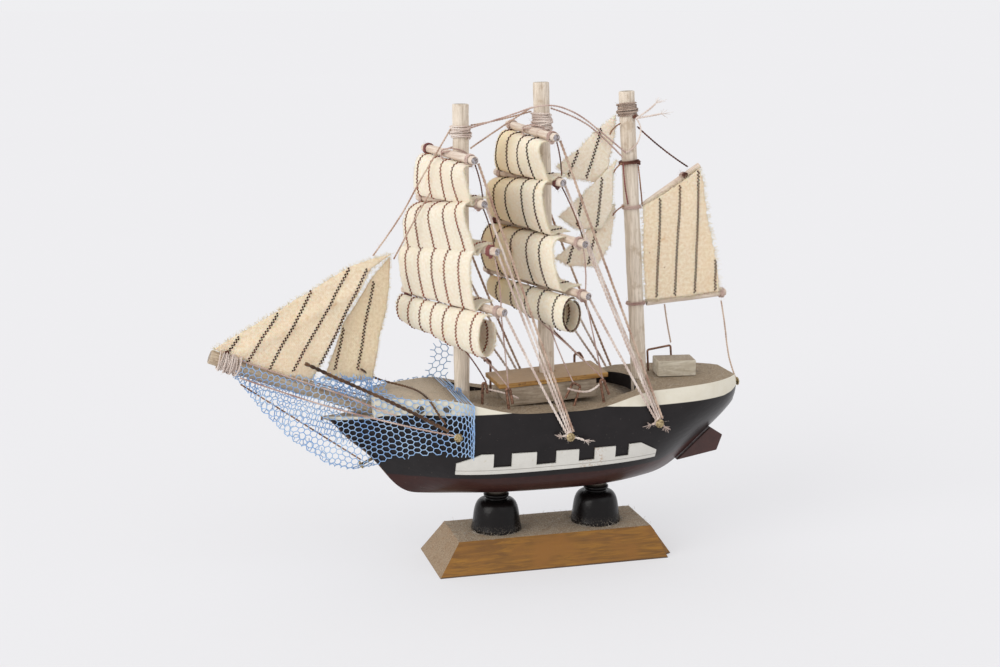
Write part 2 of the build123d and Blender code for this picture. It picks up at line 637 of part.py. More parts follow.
def build():
    os.makedirs("parts", exist_ok=True)
    block = hull_block()
    save("base_block", base_block())
    for place, x in PEDESTAL_X.items():
        save(f"pedestal_{place}", pedestal(x))
        save(f"post_{place}", post(x))
    save("hull", hull())
    save("gunport_strip_port", gunport_strip(block, 1))
    save("gunport_strip_starboard", gunport_strip(block, -1))
    save("rudder", rudder())
    save("deckhouse_block", deckhouse_block())
    save("deckhouse_roof", deckhouse_roof())
    save("deck_box", deck_box())

    nails = []
    for x, z in SIDE_NAILS.values():
        for side in (1, -1):
            surface = (x, side * side_half_width(x, z), z)
            nails.append(nail(surface, (0, side, 0), SIDE_NAIL_STAND))
    save("side_nails", *nails)
    save("stem_nail", nail((66.8, 0, 41.6), (0.72, 0, -0.34), 3.4))
    save("stern_nail", nail((-72.6, 0, 61.8), (-1, 0, 0.05), 2.4))
    save("deck_staples", *deck_staples())
    save("wire_frame", wire_frame())

    save("bowsprit", rod(*BOWSPRIT, BOWSPRIT_RADIUS))
    for name in MASTS:
        save(f"{name}_mast", mast(name))
    for name in YARDS:
        save(name, yard(name))
    save("fore_yard_lashings", *yard_lashings("fore"))
    save("main_yard_lashings", *yard_lashings("main"))
    save("mast_windings", *mast_windings())
    save("gaff", rod(*GAFF, 1.3))
    save("boom", rod(*BOOM, 1.4))
    save("spar_loops", *spar_loops())

    for name, values in SQUARE_SAILS.items():
        save(name, square_sail(*values))
    for name, values in ROLLED_SAILS.items():
        save(name, rolled_sail(*values))
    for name in FLAT_SAILS:
        save(name, flat_sail(name))
    wide, wider = hull_block(1.1), hull_block(1.8)
    save("bow_net", *bow_net(1, wide, wider), *bow_net(-1, wide, wider))

    save("fore_braces", *braces("fore", 1, "waist"), *braces("fore", -1, "waist"))
    save("main_braces", *braces("main", 1, "quarter"), *braces("main", -1, "quarter"))
    save("forestays", *forestays())
    save("mast_stays", *mast_stays())
    save("bowsprit_shrouds", *bow_rigging(1), *bow_rigging(-1))
    save("bobstay", bobstay())
    save("jib_sheets", *jib_sheets())
    save("spanker_lines", topping_lift(), boom_sheet(), boom_guy())


build()
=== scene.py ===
"""Looks of a souvenir three-masted sailing ship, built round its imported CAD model.

Shapes are worked out in millimetres in the CAD model's own frame (+X bow, +Y port, +Z up)
and turned into metres when each piece's mesh is made.
"""
import math
import random

import bmesh
import bpy
import numpy as np
from mathutils import Matrix, Vector, noise
from mathutils.bvhtree import BVHTree
from mathutils.geometry import delaunay_2d_cdt


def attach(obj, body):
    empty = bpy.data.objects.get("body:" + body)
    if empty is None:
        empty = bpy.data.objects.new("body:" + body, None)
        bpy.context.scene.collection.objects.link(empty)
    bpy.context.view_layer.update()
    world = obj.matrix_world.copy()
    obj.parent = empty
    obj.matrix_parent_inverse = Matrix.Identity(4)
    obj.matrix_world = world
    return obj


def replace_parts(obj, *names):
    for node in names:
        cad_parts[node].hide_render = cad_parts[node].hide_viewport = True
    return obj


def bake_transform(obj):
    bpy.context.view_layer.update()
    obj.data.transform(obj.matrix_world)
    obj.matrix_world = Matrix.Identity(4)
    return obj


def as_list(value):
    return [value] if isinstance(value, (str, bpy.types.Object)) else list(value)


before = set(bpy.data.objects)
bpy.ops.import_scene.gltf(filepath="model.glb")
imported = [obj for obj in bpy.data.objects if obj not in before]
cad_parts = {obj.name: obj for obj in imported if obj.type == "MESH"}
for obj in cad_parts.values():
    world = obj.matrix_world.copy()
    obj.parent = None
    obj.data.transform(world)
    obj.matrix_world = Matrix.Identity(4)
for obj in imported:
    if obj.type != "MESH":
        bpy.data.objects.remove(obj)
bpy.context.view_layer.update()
MM = 0.001
FLOOR_HALF = 40.0  # in metres, so that the floor has no visible edge
SHORTEST_CORD = 30.5  # make_cord tests a thread's length against this, but takes no step on the result
LASHING_INSET = 3.6  # how far a yard's end lashing sits from the yard's end
BRACE_DIAMETER = 0.9
STAY_DIAMETER = 0.6
TIE_DIAMETER = 0.5
dice = random.Random(7)


# Camera, light and floor --------------------------------------------------------------

# Worked out from the edges of the stand, the plane of the hull and the upright masts.
CAMERA_PLACE = (163.6, 542.4, 203.1)
CAMERA_AZIMUTH = 15.0
CAMERA_ELEVATION = 11.83
LENS = 56.86
SENSOR_WIDTH = 36.0
WORLD_STRENGTH = 0.878


def make_camera():
    """A long lens off the port bow, a little above the mast heads and looking down."""
    data = bpy.data.cameras.new("camera")
    data.lens = LENS
    data.sensor_width = SENSOR_WIDTH
    data.clip_start = 0.01
    camera = bpy.data.objects.new("camera", data)
    bpy.context.collection.objects.link(camera)
    azimuth, elevation = math.radians(CAMERA_AZIMUTH), math.radians(CAMERA_ELEVATION)
    back = Vector((math.sin(azimuth) * math.cos(elevation),
                   math.cos(azimuth) * math.cos(elevation), math.sin(elevation)))
    right = Vector((-math.cos(azimuth), math.sin(azimuth), 0))
    up = back.cross(right)
    turn = Matrix((right, up, back)).transposed().to_4x4()
    camera.matrix_world = Matrix.Translation(Vector(CAMERA_PLACE) * MM) @ turn
    bpy.context.scene.camera = camera


def sun_light(name, way, energy, spread, colour):
    data = bpy.data.lights.new(name, "SUN")
    data.energy = energy
    data.angle = math.radians(spread)
    data.color = colour
    light = bpy.data.objects.new(name, data)
    light.rotation_euler = Vector(way).to_track_quat("-Z", "Y").to_euler()
    bpy.context.collection.objects.link(light)


def make_studio():
    """A high-key studio: even pale light, a soft key from the bow side and a weak fill."""
    world = bpy.data.worlds.new("studio")
    world.use_nodes = True
    background = world.node_tree.nodes["Background"]
    background.inputs["Color"].default_value = (0.981, 0.981, 1.0, 1)
    background.inputs["Strength"].default_value = WORLD_STRENGTH
    bpy.context.scene.world = world
    bpy.context.scene.view_settings.view_transform = "Standard"
    sun_light("key", (-0.90, -0.45, -0.52), 1.35, 40, (1.0, 0.985, 0.955))
    sun_light("fill", (0.5, -0.7, -0.8), 0.2, 50, (0.97, 0.98, 1.0))

    half = FLOOR_HALF
    floor = mesh_object("floor", [(-half, -half, 0), (half, -half, 0), (half, half, 0),
                                  (-half, half, 0)], [(0, 1, 2, 3)], None, floor_material(),
                        scale=1.0)


# Materials ----------------------------------------------------------------------------

# The studio light on an upright face is this much over one.
LIGHT_GAIN = 1.05


def srgb(red, green, blue):
    """The shader colour of something that looks like this screen colour in the studio."""
    linear = []
    for value in (red, green, blue):
        value = value / 255
        tone = value / 12.92 if value < 0.04045 else ((value + 0.055) / 1.055) ** 2.4
        linear.append(tone / LIGHT_GAIN)
    return (*linear, 1.0)


class Graph:
    """One material's nodes. Lengths are in millimetres in the object's own space."""

    def __init__(self, name, **sockets):
        self.material = bpy.data.materials.new(name)
        self.material.use_nodes = True
        self.tree = self.material.node_tree
        self.shader = self.tree.nodes["Principled BSDF"]
        for socket, value in sockets.items():
            self.shader.inputs[socket.replace("_", " ")].default_value = value
        place = self.tree.nodes.new("ShaderNodeTexCoord").outputs["Object"]
        scaled = self.tree.nodes.new("ShaderNodeVectorMath")
        scaled.operation = "SCALE"
        scaled.inputs["Scale"].default_value = 1000
        self.tree.links.new(place, scaled.inputs[0])
        self.place = scaled.outputs[0]
        parts = self.tree.nodes.new("ShaderNodeSeparateXYZ")
        self.tree.links.new(self.place, parts.inputs[0])
        self.x, self.y, self.z = parts.outputs
        normal = self.tree.nodes.new("ShaderNodeNewGeometry").outputs["Normal"]
        parts = self.tree.nodes.new("ShaderNodeSeparateXYZ")
        self.tree.links.new(normal, parts.inputs[0])
        self.nx, self.ny, self.nz = parts.outputs

    def set(self, socket, value):
        if isinstance(value, bpy.types.NodeSocket):
            self.tree.links.new(value, socket)
        else:
            socket.default_value = value

    def stretched(self, x, y, z):
        """The place stretched along each axis, for grain."""
        node = self.tree.nodes.new("ShaderNodeVectorMath")
        node.operation = "MULTIPLY"
        self.tree.links.new(self.place, node.inputs[0])
        node.inputs[1].default_value = (x, y, z)
        return node.outputs[0]

    def attribute(self, name):
        node = self.tree.nodes.new("ShaderNodeAttribute")
        node.attribute_name = name
        parts = self.tree.nodes.new("ShaderNodeSeparateXYZ")
        self.tree.links.new(node.outputs["Vector"], parts.inputs[0])
        return node.outputs["Vector"], parts.outputs[0], parts.outputs[1], parts.outputs[2]

    def noise(self, scale, detail=3.0, vector=None, distortion=0.0, roughness=0.5):
        node = self.tree.nodes.new("ShaderNodeTexNoise")
        self.tree.links.new(vector or self.place, node.inputs["Vector"])
        node.inputs["Scale"].default_value = scale
        node.inputs["Detail"].default_value = detail
        node.inputs["Roughness"].default_value = roughness
        node.inputs["Distortion"].default_value = distortion
        return node.outputs["Fac"]

    def math(self, operation, first, second=0.0):
        node = self.tree.nodes.new("ShaderNodeMath")
        node.operation = operation
        self.set(node.inputs[0], first)
        self.set(node.inputs[1], second)
        return node.outputs[0]

    def times(self, first, second):
        return self.math("MULTIPLY", first, second)

    def plus(self, first, second):
        return self.math("ADD", first, second)

    def most(self, first, second):
        return self.math("MAXIMUM", first, second)

    def size(self, value):
        return self.math("ABSOLUTE", value)

    def over(self, colour, amount, strength, tone):
        """Lay a tone over a colour by an amount, at its strongest by the strength."""
        return self.mix(self.times(amount, strength), colour, tone)

    def step(self, value, low, high):
        """0 below low, 1 above high and smooth between; the other way round if low > high."""
        node = self.tree.nodes.new("ShaderNodeMapRange")
        node.interpolation_type = "SMOOTHSTEP"
        self.set(node.inputs["Value"], value)
        first, last = (0.0, 1.0) if low <= high else (1.0, 0.0)
        node.inputs["From Min"].default_value = min(low, high)
        node.inputs["From Max"].default_value = max(low, high)
        node.inputs["To Min"].default_value = first
        node.inputs["To Max"].default_value = last
        return node.outputs["Result"]

    def mix(self, factor, first, second):
        node = self.tree.nodes.new("ShaderNodeMix")
        node.data_type = "RGBA"
        self.set(node.inputs[0], factor)
        self.set(node.inputs[6], first)
        self.set(node.inputs[7], second)
        return node.outputs[2]

    def line(self, value, points):
        """Straight runs through (input, output) points."""
        total = None
        for (x0, y0), (x1, y1) in zip(points, points[1:]):
            node = self.tree.nodes.new("ShaderNodeMapRange")
            self.set(node.inputs["Value"], value)
            node.inputs["From Min"].default_value = min(x0, x1)
            node.inputs["From Max"].default_value = max(x0, x1)
            node.inputs["To Min"].default_value = 0.0
            node.inputs["To Max"].default_value = y1 - y0
            total = node.outputs["Result"] if total is None else \
                self.math("ADD", total, node.outputs["Result"])
        return self.math("ADD", total, points[0][1])

    def finish(self, colour, roughness=None, height=None, depth=0.1):
        """Join colour, roughness and bump to the shader; depth is the relief in mm."""
        self.set(self.shader.inputs["Base Color"], colour)
        if roughness is not None:
            self.set(self.shader.inputs["Roughness"], roughness)
        if height is not None:
            bump = self.tree.nodes.new("ShaderNodeBump")
            bump.inputs["Strength"].default_value = 1.0
            bump.inputs["Distance"].default_value = depth * MM
            self.tree.links.new(height, bump.inputs["Height"])
            self.tree.links.new(bump.outputs[0], self.shader.inputs["Normal"])
        return self.material


def floor_material():
    g = Graph("studio_floor", Roughness=0.9, Specular_IOR_Level=0.0,
              Emission_Color=(0.99, 0.985, 1.0, 1), Emission_Strength=0.50)
    uneven = g.noise(0.002, 3)
    return g.finish(g.mix(uneven, (0.332, 0.332, 0.340, 1), (0.328, 0.326, 0.335, 1)))


def dust(g, colour, amount):
    """Lay grey-beige dust over a colour by the amount given."""
    speck = g.noise(2.2, 6, roughness=0.7)
    tone = g.mix(g.step(speck, 0.35, 0.68), srgb(132, 114, 94), srgb(194, 178, 154))
    grain = g.step(g.noise(1.5, 3, roughness=0.8), 0.56, 0.66)
    tone = g.mix(g.times(grain, 0.6), tone, srgb(92, 76, 62))
    return g.mix(amount, colour, tone)


def stand_material():
    g = Graph("stained_pine", Roughness=0.55)
    streak = g.noise(1.0, 8, g.stretched(0.05, 0.7, 0.55), 1.2, 0.65)
    cloud = g.noise(0.07, 3)
    stain = g.mix(g.step(streak, 0.38, 0.66), srgb(112, 72, 14), srgb(152, 104, 24))
    stain = g.mix(g.step(cloud, 0.42, 0.7), stain, srgb(138, 90, 24))
    fleck = g.noise(1.0, 9, g.stretched(0.12, 0.5, 1.1), 0.8, 0.75)
    stain = g.mix(g.step(fleck, 0.60, 0.74), stain, srgb(80, 60, 34))
    edge = g.step(g.z, 0.7, 0.15)
    stain = g.mix(edge, stain, srgb(70, 48, 26))
    rubbed = g.step(g.noise(0.5, 5), 0.3, 0.6)
    # Dust on the top faces; the +X end face gets the dust tone too, partly dust and partly painted light
    # on the face turned to the key lamp.
    top = g.most(g.step(g.nz, 0.86, 0.97), g.step(g.nx, 0.45, 0.7))
    top = g.times(top, g.plus(0.72, g.times(rubbed, 0.28)))
    colour = dust(g, stain, top)
    # The +X end face is browned as well, part of the same painted light on that side.
    brown = g.step(g.nx, 0.45, 0.7)
    colour = g.over(colour, brown, 0.35, srgb(130, 98, 62))
    grit = g.noise(3.5, 6, roughness=0.7)
    grain = g.plus(g.times(streak, 0.6), g.times(grit, 0.7))
    return g.finish(colour, g.line(top, [(0, 0.5), (1, 0.95)]), grain, 0.22)


def hull_sides(g):
    """Black topsides over a maroon bottom, with a hand-painted line between them."""
    wander = g.times(g.math("SUBTRACT", g.noise(0.25, 3), 0.5), 0.7)
    height = g.plus(g.z, wander)
    paint = g.mix(g.noise(0.15, 4), srgb(20, 17, 18), srgb(38, 34, 35))
    bottom = g.line(g.x, [(-56, 43.5), (-47, 39.2), (-39, 37.4), (-25, 37.1), (20, 36.8),
                          (60, 36.2)])
    below = g.step(g.math("SUBTRACT", height, bottom), 0.35, -0.35)
    maroon = g.mix(g.noise(0.4, 5), srgb(44, 22, 20), srgb(64, 35, 31))
    return g.mix(below, paint, maroon)


def hull_band(g):
    """The cream band under the rails: where it is, and its colour."""
    bow_edge = g.line(g.x, [(16, 70), (20, 61.3), (24, 61.2), (50, 61.1), (58, 60.5), (64, 59.6),
                            (67, 58.4), (76, 57.6)])
    stern_edge = g.line(g.x, [(-72, 62.6), (-68, 61.2), (-64, 60.5), (-54, 60.5), (-36, 60.6),
                              (-28, 60.6), (-18, 61.3), (-13, 61.9), (-11, 70)])
    edge = g.math("MINIMUM", bow_edge, stern_edge)
    side = g.step(g.nz, 0.75, 0.5)
    band = g.times(g.step(g.math("SUBTRACT", g.z, edge), -0.12, 0.12), side)
    inside = g.times(g.step(g.size(g.y), 15.9, 16.3),
                    g.step(g.x, -75, -74))
    band = g.times(band, g.most(
        inside, g.most(g.step(g.x, 36.2, 36.6), g.step(g.x, -33.8, -34.2))))
    cream = g.mix(g.noise(0.3, 5), srgb(218, 210, 190), srgb(234, 229, 214))
    grime = g.step(g.noise(1.1, 6, roughness=0.7), 0.62, 0.74)
    return band, g.over(cream, grime, 0.55, srgb(150, 132, 102))


def hull_decks(g, colour):
    """Dust and bare wood on the decks, and painted shade in the bay before the poop: the new colour, and
    where the dust is.
    """
    deck = g.times(g.step(g.nz, 0.8, 0.93), g.step(g.z, 57.6, 58.4))
    bare = g.step(g.noise(0.35, 5, roughness=0.65), 0.64, 0.72)
    # Partly painted shade: the deck in the bay before the poop's front wall is left nearly free of dust,
    # so the dark deck paint shows there; it is partly the real black paint, partly painted shade under the
    # wall.
    waist = g.times(g.step(g.z, 62.0, 61.4), g.step(g.x, -26, -30))
    bare_and_shaded_bay = g.most(bare, g.times(waist, 0.85))
    dusty = g.times(deck, g.math("SUBTRACT", 1.0, g.times(bare_and_shaded_bay, 0.8)))
    colour = dust(g, colour, dusty)
    pale = g.times(g.step(g.x, 36, 48), dusty)
    colour = g.over(colour, pale, 0.6, srgb(214, 198, 176))
    brown = g.step(g.noise(0.8, 4), 0.62, 0.7)
    colour = g.mix(g.times(g.times(deck, brown), 0.35), colour,
                   srgb(104, 78, 56))
    return colour, dusty


def hull_material():
    """Painted hull sides with a cream band, specks and worn stem, and dusty decks with painted shade in
    the bay before the poop.
    """
    g = Graph("hull_paint", Roughness=0.3, Specular_IOR_Level=0.22)
    colour = hull_sides(g)
    band, cream = hull_band(g)
    colour = g.mix(band, colour, cream)

    speck = g.step(g.noise(1.6, 2), 0.73, 0.76)
    speck = g.times(speck, g.math("SUBTRACT", 1.0, band))
    colour = g.over(colour, speck, 0.5, srgb(120, 110, 100))

    stem = g.times(g.step(g.x, 56.5, 58.0),
                  g.step(g.size(g.y), 1.15, 0.75))
    worn = g.step(g.noise(0.9, 5), 0.42, 0.55)
    colour = g.mix(g.times(stem, worn), colour, srgb(112, 84, 62))

    colour, dusty = hull_decks(g, colour)
    matte = g.most(dusty, g.times(band, 0.45))
    roughness = g.line(matte, [(0, 0.3), (1, 0.97)])
    grit = g.times(g.noise(3.0, 6, roughness=0.75), dusty)
    brush = g.times(g.noise(1.0, 4, g.stretched(0.08, 0.5, 0.5)), 0.25)
    return g.finish(colour, roughness, g.plus(grit, brush), 0.4)


def cream_paint():
    g = Graph("cream_paint", Roughness=0.45)
    colour = g.mix(g.noise(0.3, 5), srgb(204, 201, 193), srgb(222, 219, 212))
    fore, aft = 39.1, -35.8
    seam_z = g.line(g.x, [(aft, 40.1 + 1.4), (fore, 38.6 + 1.6)])
    seam = g.step(g.size(g.math("SUBTRACT", g.z, seam_z)), 0.14, 0.05)
    colour = g.over(colour, seam, 0.75, srgb(104, 96, 86))
    stained = g.times(g.step(g.noise(1.3, 5, distortion=1.5), 0.55, 0.6),
                     g.step(g.size(g.plus(g.x, 10.0)), 6.0, 3.0))
    colour = g.over(colour, stained, 0.6, srgb(168, 128, 84))
    rim = g.step(g.noise(0.9, 4), 0.62, 0.72)
    colour = g.over(colour, rim, 0.3, srgb(186, 172, 140))
    return g.finish(colour, None, g.noise(0.8, 5), 0.12)


def black_lacquer():
    g = Graph("black_lacquer", Roughness=0.3, Specular_IOR_Level=0.2)
    colour = g.mix(g.noise(0.5, 4), srgb(10, 8, 8), srgb(22, 18, 18))
    low = g.step(g.z, 15.6, 12.2)
    lint = g.times(g.step(g.noise(1.7, 6, roughness=0.75), 0.5, 0.68), low)
    neck = g.step(g.z, 25.4, 26.2)
    grey = g.most(g.times(lint, 0.75), g.times(neck, 0.5))
    colour = g.mix(grey, colour, srgb(128, 118, 106))
    return g.finish(colour, g.line(grey, [(0, 0.27), (1, 0.9)]), g.noise(0.6, 4), 0.12)


def maroon_paint():
    g = Graph("maroon_paint", Roughness=0.38)
    colour = g.mix(g.noise(0.4, 5), srgb(52, 26, 24), srgb(78, 42, 36))
    worn = g.step(g.noise(1.4, 5), 0.62, 0.7)
    colour = g.over(colour, worn, 0.3, srgb(28, 20, 20))
    return g.finish(colour, None, g.noise(1.0, 5, g.stretched(0.1, 0.6, 0.6)), 0.2)


def pale_wood(name, light, dark, dirt):
    """Thinly painted pale wood with a dusty top."""
    g = Graph(name, Roughness=0.75)
    grain = g.noise(1.0, 7, g.stretched(0.12, 0.8, 0.9), 0.6)
    colour = g.mix(g.step(grain, 0.3, 0.7), dark, light)
    smudge = g.step(g.noise(0.5, 5, roughness=0.65), 0.52, 0.72)
    colour = g.over(colour, smudge, 0.5, dirt)
    top = g.step(g.nz, 0.8, 0.95)
    colour = dust(g, colour, g.times(top, 0.92))
    grit = g.plus(g.noise(3.0, 6, roughness=0.7), grain)
    return g.finish(colour, None, grit, 0.3)


def roof_material():
    g = Graph("roof_wood", Roughness=0.7)
    grain = g.noise(1.0, 7, g.stretched(0.08, 0.9, 1.2), 0.8)
    colour = g.mix(g.step(grain, 0.35, 0.65), srgb(150, 108, 52), srgb(186, 142, 78))
    colour = g.mix(g.step(g.noise(0.6, 5), 0.58, 0.7), colour, srgb(112, 78, 42))
    top = g.times(g.step(g.nz, 0.8, 0.95),
                 g.line(g.noise(0.3, 4), [(0, 0.72), (1, 0.96)]))
    tone = g.mix(g.noise(2.4, 6, roughness=0.7), srgb(152, 126, 98), srgb(198, 172, 142))
    colour = g.mix(top, colour, tone)
    return g.finish(colour, None, g.plus(g.noise(3.0, 6, roughness=0.7), grain), 0.3)


def stick_material(name, light, dark, knot, end):
    """A round stick: streaks along its length, a few worn patches and end grain."""
    g = Graph(name, Roughness=0.7)
    along = g.attribute("stick")[0]
    tip = g.tree.nodes.new("ShaderNodeAttribute")
    tip.attribute_name = "tip"
    tip = tip.outputs["Fac"]
    spread = g.tree.nodes.new("ShaderNodeVectorMath")
    spread.operation = "MULTIPLY"
    g.tree.links.new(along, spread.inputs[0])
    spread.inputs[1].default_value = (0.09, 1.3, 1.3)
    streak = g.noise(1.0, 8, spread.outputs[0], 0.5, 0.65)
    colour = g.mix(g.step(streak, 0.3, 0.68), dark, light)
    patch = g.step(g.noise(0.22, 6, roughness=0.6), 0.56, 0.68)
    colour = g.over(colour, patch, 0.55, knot)
    fleck = g.step(g.noise(2.2, 4), 0.7, 0.76)
    colour = g.over(colour, fleck, 0.5, srgb(96, 70, 48))
    rings = g.noise(1.6, 5, distortion=1.0)
    wood = g.mix(g.step(rings, 0.4, 0.6), end, srgb(112, 96, 84))
    colour = g.mix(tip, colour, wood)
    return g.finish(colour, None, g.plus(streak, g.noise(2.0, 4)), 0.22)


def metal(name, light, dark, roughness):
    g = Graph(name, Metallic=0.85, Roughness=roughness)
    tarnish = g.step(g.noise(1.6, 6, roughness=0.7), 0.4, 0.65)
    colour = g.mix(tarnish, light, dark)
    return g.finish(colour, g.line(tarnish, [(0, roughness), (1, roughness + 0.3)]),
                    g.noise(3.0, 5), 0.06)


def sailcloth(name, light, dark, stain, shade_tint_span=None):
    """Plain-woven cotton; the attribute 'cloth' holds the place in the flat cloth, and an optional span
    gets painted shade.
    """
    g = Graph(name, Roughness=0.92, Sheen_Weight=0.15, Subsurface_Weight=0.12,
              Subsurface_Scale=0.002)
    flat, u, v, _ = g.attribute("cloth")
    warp = g.math("SINE", g.times(u, 2 * math.pi / WARP_PITCH))
    weft = g.math("SINE", g.times(v, 2 * math.pi / WEFT_PITCH))
    weave = g.plus(g.times(g.times(warp, weft), 0.7),
                   g.times(g.plus(warp, weft), 0.15))
    slub = g.noise(0.9, 5, flat, roughness=0.65)
    tone = g.plus(g.times(weave, 0.10), slub)
    colour = g.mix(g.step(tone, 0.25, 0.75), dark, light)
    # Painted shade: across the given span, towards starboard, the cloth turns a warm tint that stands for
    # the shade the fore sails cast on the main sails.
    if shade_tint_span:
        colour = g.mix(g.step(u, *shade_tint_span), colour, srgb(252, 228, 184))
    age = g.step(g.noise(0.06, 4, roughness=0.6), 0.48, 0.72)
    colour = g.over(colour, age, 0.45, dark)
    spot = g.step(g.noise(0.11, 3, distortion=0.6), 0.64, 0.76)
    colour = g.over(colour, spot, 0.55, stain)
    fleck = g.step(g.noise(0.75, 2), 0.765, 0.79)
    colour = g.over(colour, fleck, 0.6, srgb(150, 96, 60))
    height = g.plus(weave, g.times(slub, 1.5))
    return g.finish(colour, None, height, 0.09)


def yarn(name, light, dark, roughness=0.9, sheen=0.2):
    """Spun thread: its colour drifts along it and in fine streaks."""
    g = Graph(name, Roughness=roughness, Sheen_Weight=sheen, Specular_IOR_Level=sheen)
    drift = g.noise(0.12, 3)
    fine = g.noise(4.0, 4)
    tone = g.plus(g.times(drift, 0.6), g.times(fine, 0.4))
    colour = g.mix(g.step(tone, 0.38, 0.62), dark, light)
    return g.finish(colour, None, fine, 0.06)


# Meshes -------------------------------------------------------------------------------

def mesh_object(name, points, faces, body, material, scale=MM, finish=None):
    """A mesh from points in millimetres, riding on a body."""
    data = bpy.data.meshes.new(name)
    data.from_pydata((np.array(points, float) * scale).tolist(), [], faces)
    data.materials.append(material)
    data.shade_smooth()
    return put(name, data, body, finish)


def put(name, data, body, finish):
    """An object that holds the mesh and rides on a body; the finish is not used."""
    made = bpy.data.objects.new(name, data)
    bpy.context.collection.objects.link(made)
    if body:
        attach(made, body)
    return made


def ring_faces(rings, sides):
    """Four-sided faces between rings of points."""
    faces = []
    for ring in range(rings - 1):
        for side in range(sides):
            after = (side + 1) % sides
            faces.append((ring * sides + side, ring * sides + after,
                          (ring + 1) * sides + after, (ring + 1) * sides + side))
    return faces


def caps(rings, sides):
    """The two end faces of a row of rings."""
    return [tuple(range(sides - 1, -1, -1)), tuple(range((rings - 1) * sides, rings * sides))]


def keep(data, name, kind, values):
    """Store one value per point under a name that the shaders read."""
    attribute = data.attributes.new(name, kind, "POINT")
    attribute.data.foreach_set("vector" if kind == "FLOAT_VECTOR" else "value",
                               np.array(values, float).ravel())


def unit(vectors):
    vectors = np.asarray(vectors, float)
    return vectors / np.maximum(np.linalg.norm(vectors, axis=-1, keepdims=True), 1e-9)


def random_way():
    return unit([dice.gauss(0, 1) for _ in range(3)])


def frames_along(points):
    """Two directions square to a line at each of its points, without twist."""
    tangents = unit(np.gradient(points, axis=0))
    seed = np.cross(tangents[0], (0.3, 0.2, 0.9))
    if np.linalg.norm(seed) < 0.1:
        seed = np.cross(tangents[0], (1.0, 0.0, 0.0))
    first = [unit(seed)]
    for tangent in tangents[1:]:
        kept = first[-1] - tangent * np.dot(first[-1], tangent)
        first.append(unit(kept))
    first = np.array(first)
    return first, np.cross(tangents, first)


def distances(line):
    """How far along a line each of its points lies."""
    gaps = np.linalg.norm(np.diff(line, axis=0), axis=1)
    return np.concatenate([[0], np.cumsum(gaps)])


def respaced(points, step):
    """The same line with its points a given distance apart."""
    points = np.asarray(points, float)
    along = distances(points)
    count = max(3, int(along[-1] / step) + 1)
    places = np.linspace(0, along[-1], count)
    return np.stack([np.interp(places, along, points[:, i]) for i in range(3)], axis=1)


def fibre(start, way, bend):
    """A short fibre that leaves along one way and bends off it."""
    steps = np.linspace(0, 1, 5)[:, None]
    return start + way * steps + bend * steps ** 2


# A thread's twist length and its plies' place and thickness, as shares of its diameter.
LAY_PITCH = 3.4
PLY_OFFSET = 0.24
PLY_SWELL = 1.28
HAIR_RADIUS = 0.035
CORD_HAIRS_PER_MM, CORD_HAIR_LENGTH = 0.35, 1.5
WINDING_HAIRS_PER_TURN, WINDING_HAIR_LENGTH = 5.0, 2.4


class Bundle:
    """Many small tubes that make up one piece."""

    def __init__(self):
        self.points = []
        self.faces = []
        self.count = 0

    def add(self, points, faces):
        self.points.append(np.asarray(points, float))
        self.faces.extend(tuple(index + self.count for index in face) for face in faces)
        self.count += len(points)

    def tube(self, line, radius, sides=6):
        line = np.asarray(line, float)
        radius = np.broadcast_to(radius, len(line))
        first, second = frames_along(line)
        turns = np.arange(sides) * 2 * math.pi / sides
        rings = (line[:, None, :]
                 + radius[:, None, None] * (np.cos(turns)[None, :, None] * first[:, None, :]
                                            + np.sin(turns)[None, :, None] * second[:, None, :]))
        self.add(rings.reshape(-1, 3), ring_faces(len(line), sides) + caps(len(line), sides))

    def twisted(self, line, diameter):
        """Two plies laid round a line, so that the whole has about the diameter given."""
        pitch = diameter * LAY_PITCH
        line = respaced(line, pitch / 9)
        first, second = frames_along(line)
        along = np.arange(len(line)) * np.linalg.norm(line[1] - line[0])
        offset = diameter * PLY_OFFSET
        radius = diameter / 2 - offset
        for strand in range(2):
            angle = along / pitch * 2 * math.pi + strand * math.pi
            path = line + offset * (np.cos(angle)[:, None] * first
                                    + np.sin(angle)[:, None] * second)
            self.tube(path, radius * PLY_SWELL, 5)

    def hairs(self, line, how_many, length):
        """Loose fibres that stand off a thread."""
        line = np.asarray(line, float)
        for _ in range(how_many):
            start = line[dice.randrange(len(line))]
            way = random_way()
            bend = random_way()
            reach = length * dice.uniform(0.4, 1.0)
            self.tube(fibre(start, way * reach, bend * reach * 0.45),
                      HAIR_RADIUS * np.linspace(1.0, 0.5, 5), 3)

    def frayed(self, end, way, length, width, fibres, radius):
        """A tuft where a thread's cut end has come undone."""
        end, way = np.array(end, float), unit(way)
        for _ in range(fibres):
            spread = np.array([dice.gauss(0, 1) for _ in range(3)]) * width
            reach = length * dice.uniform(0.6, 1.1)
            steps = np.linspace(0, 1, 5)[:, None]
            self.tube(end + way * reach * steps + spread * steps ** 1.3, radius, 4)

    def build(self, name, body, material, finish=None):
        return mesh_object(name, np.concatenate(self.points), self.faces, body, material,
                           finish=finish)


def nurbs_line(route):
    """The smooth line of a route: a NURBS spline with the route's points, read as a mesh."""
    data = bpy.data.curves.new("route", "CURVE")
    data.dimensions = "3D"
    spline = data.splines.new("NURBS")
    spline.points.add(len(route) - 1)
    for point, place in zip(spline.points, route):
        point.co = (*[value * MM for value in place], 1)
    spline.order_u = 3
    spline.use_endpoint_u = True
    spline.resolution_u = 16
    holder = bpy.data.objects.new("route", data)
    mesh = bpy.data.meshes.new_from_object(holder)
    line = np.array([vertex.co for vertex in mesh.vertices]) / MM
    bpy.data.objects.remove(holder)
    bpy.data.meshes.remove(mesh)
    bpy.data.curves.remove(data)
    return line


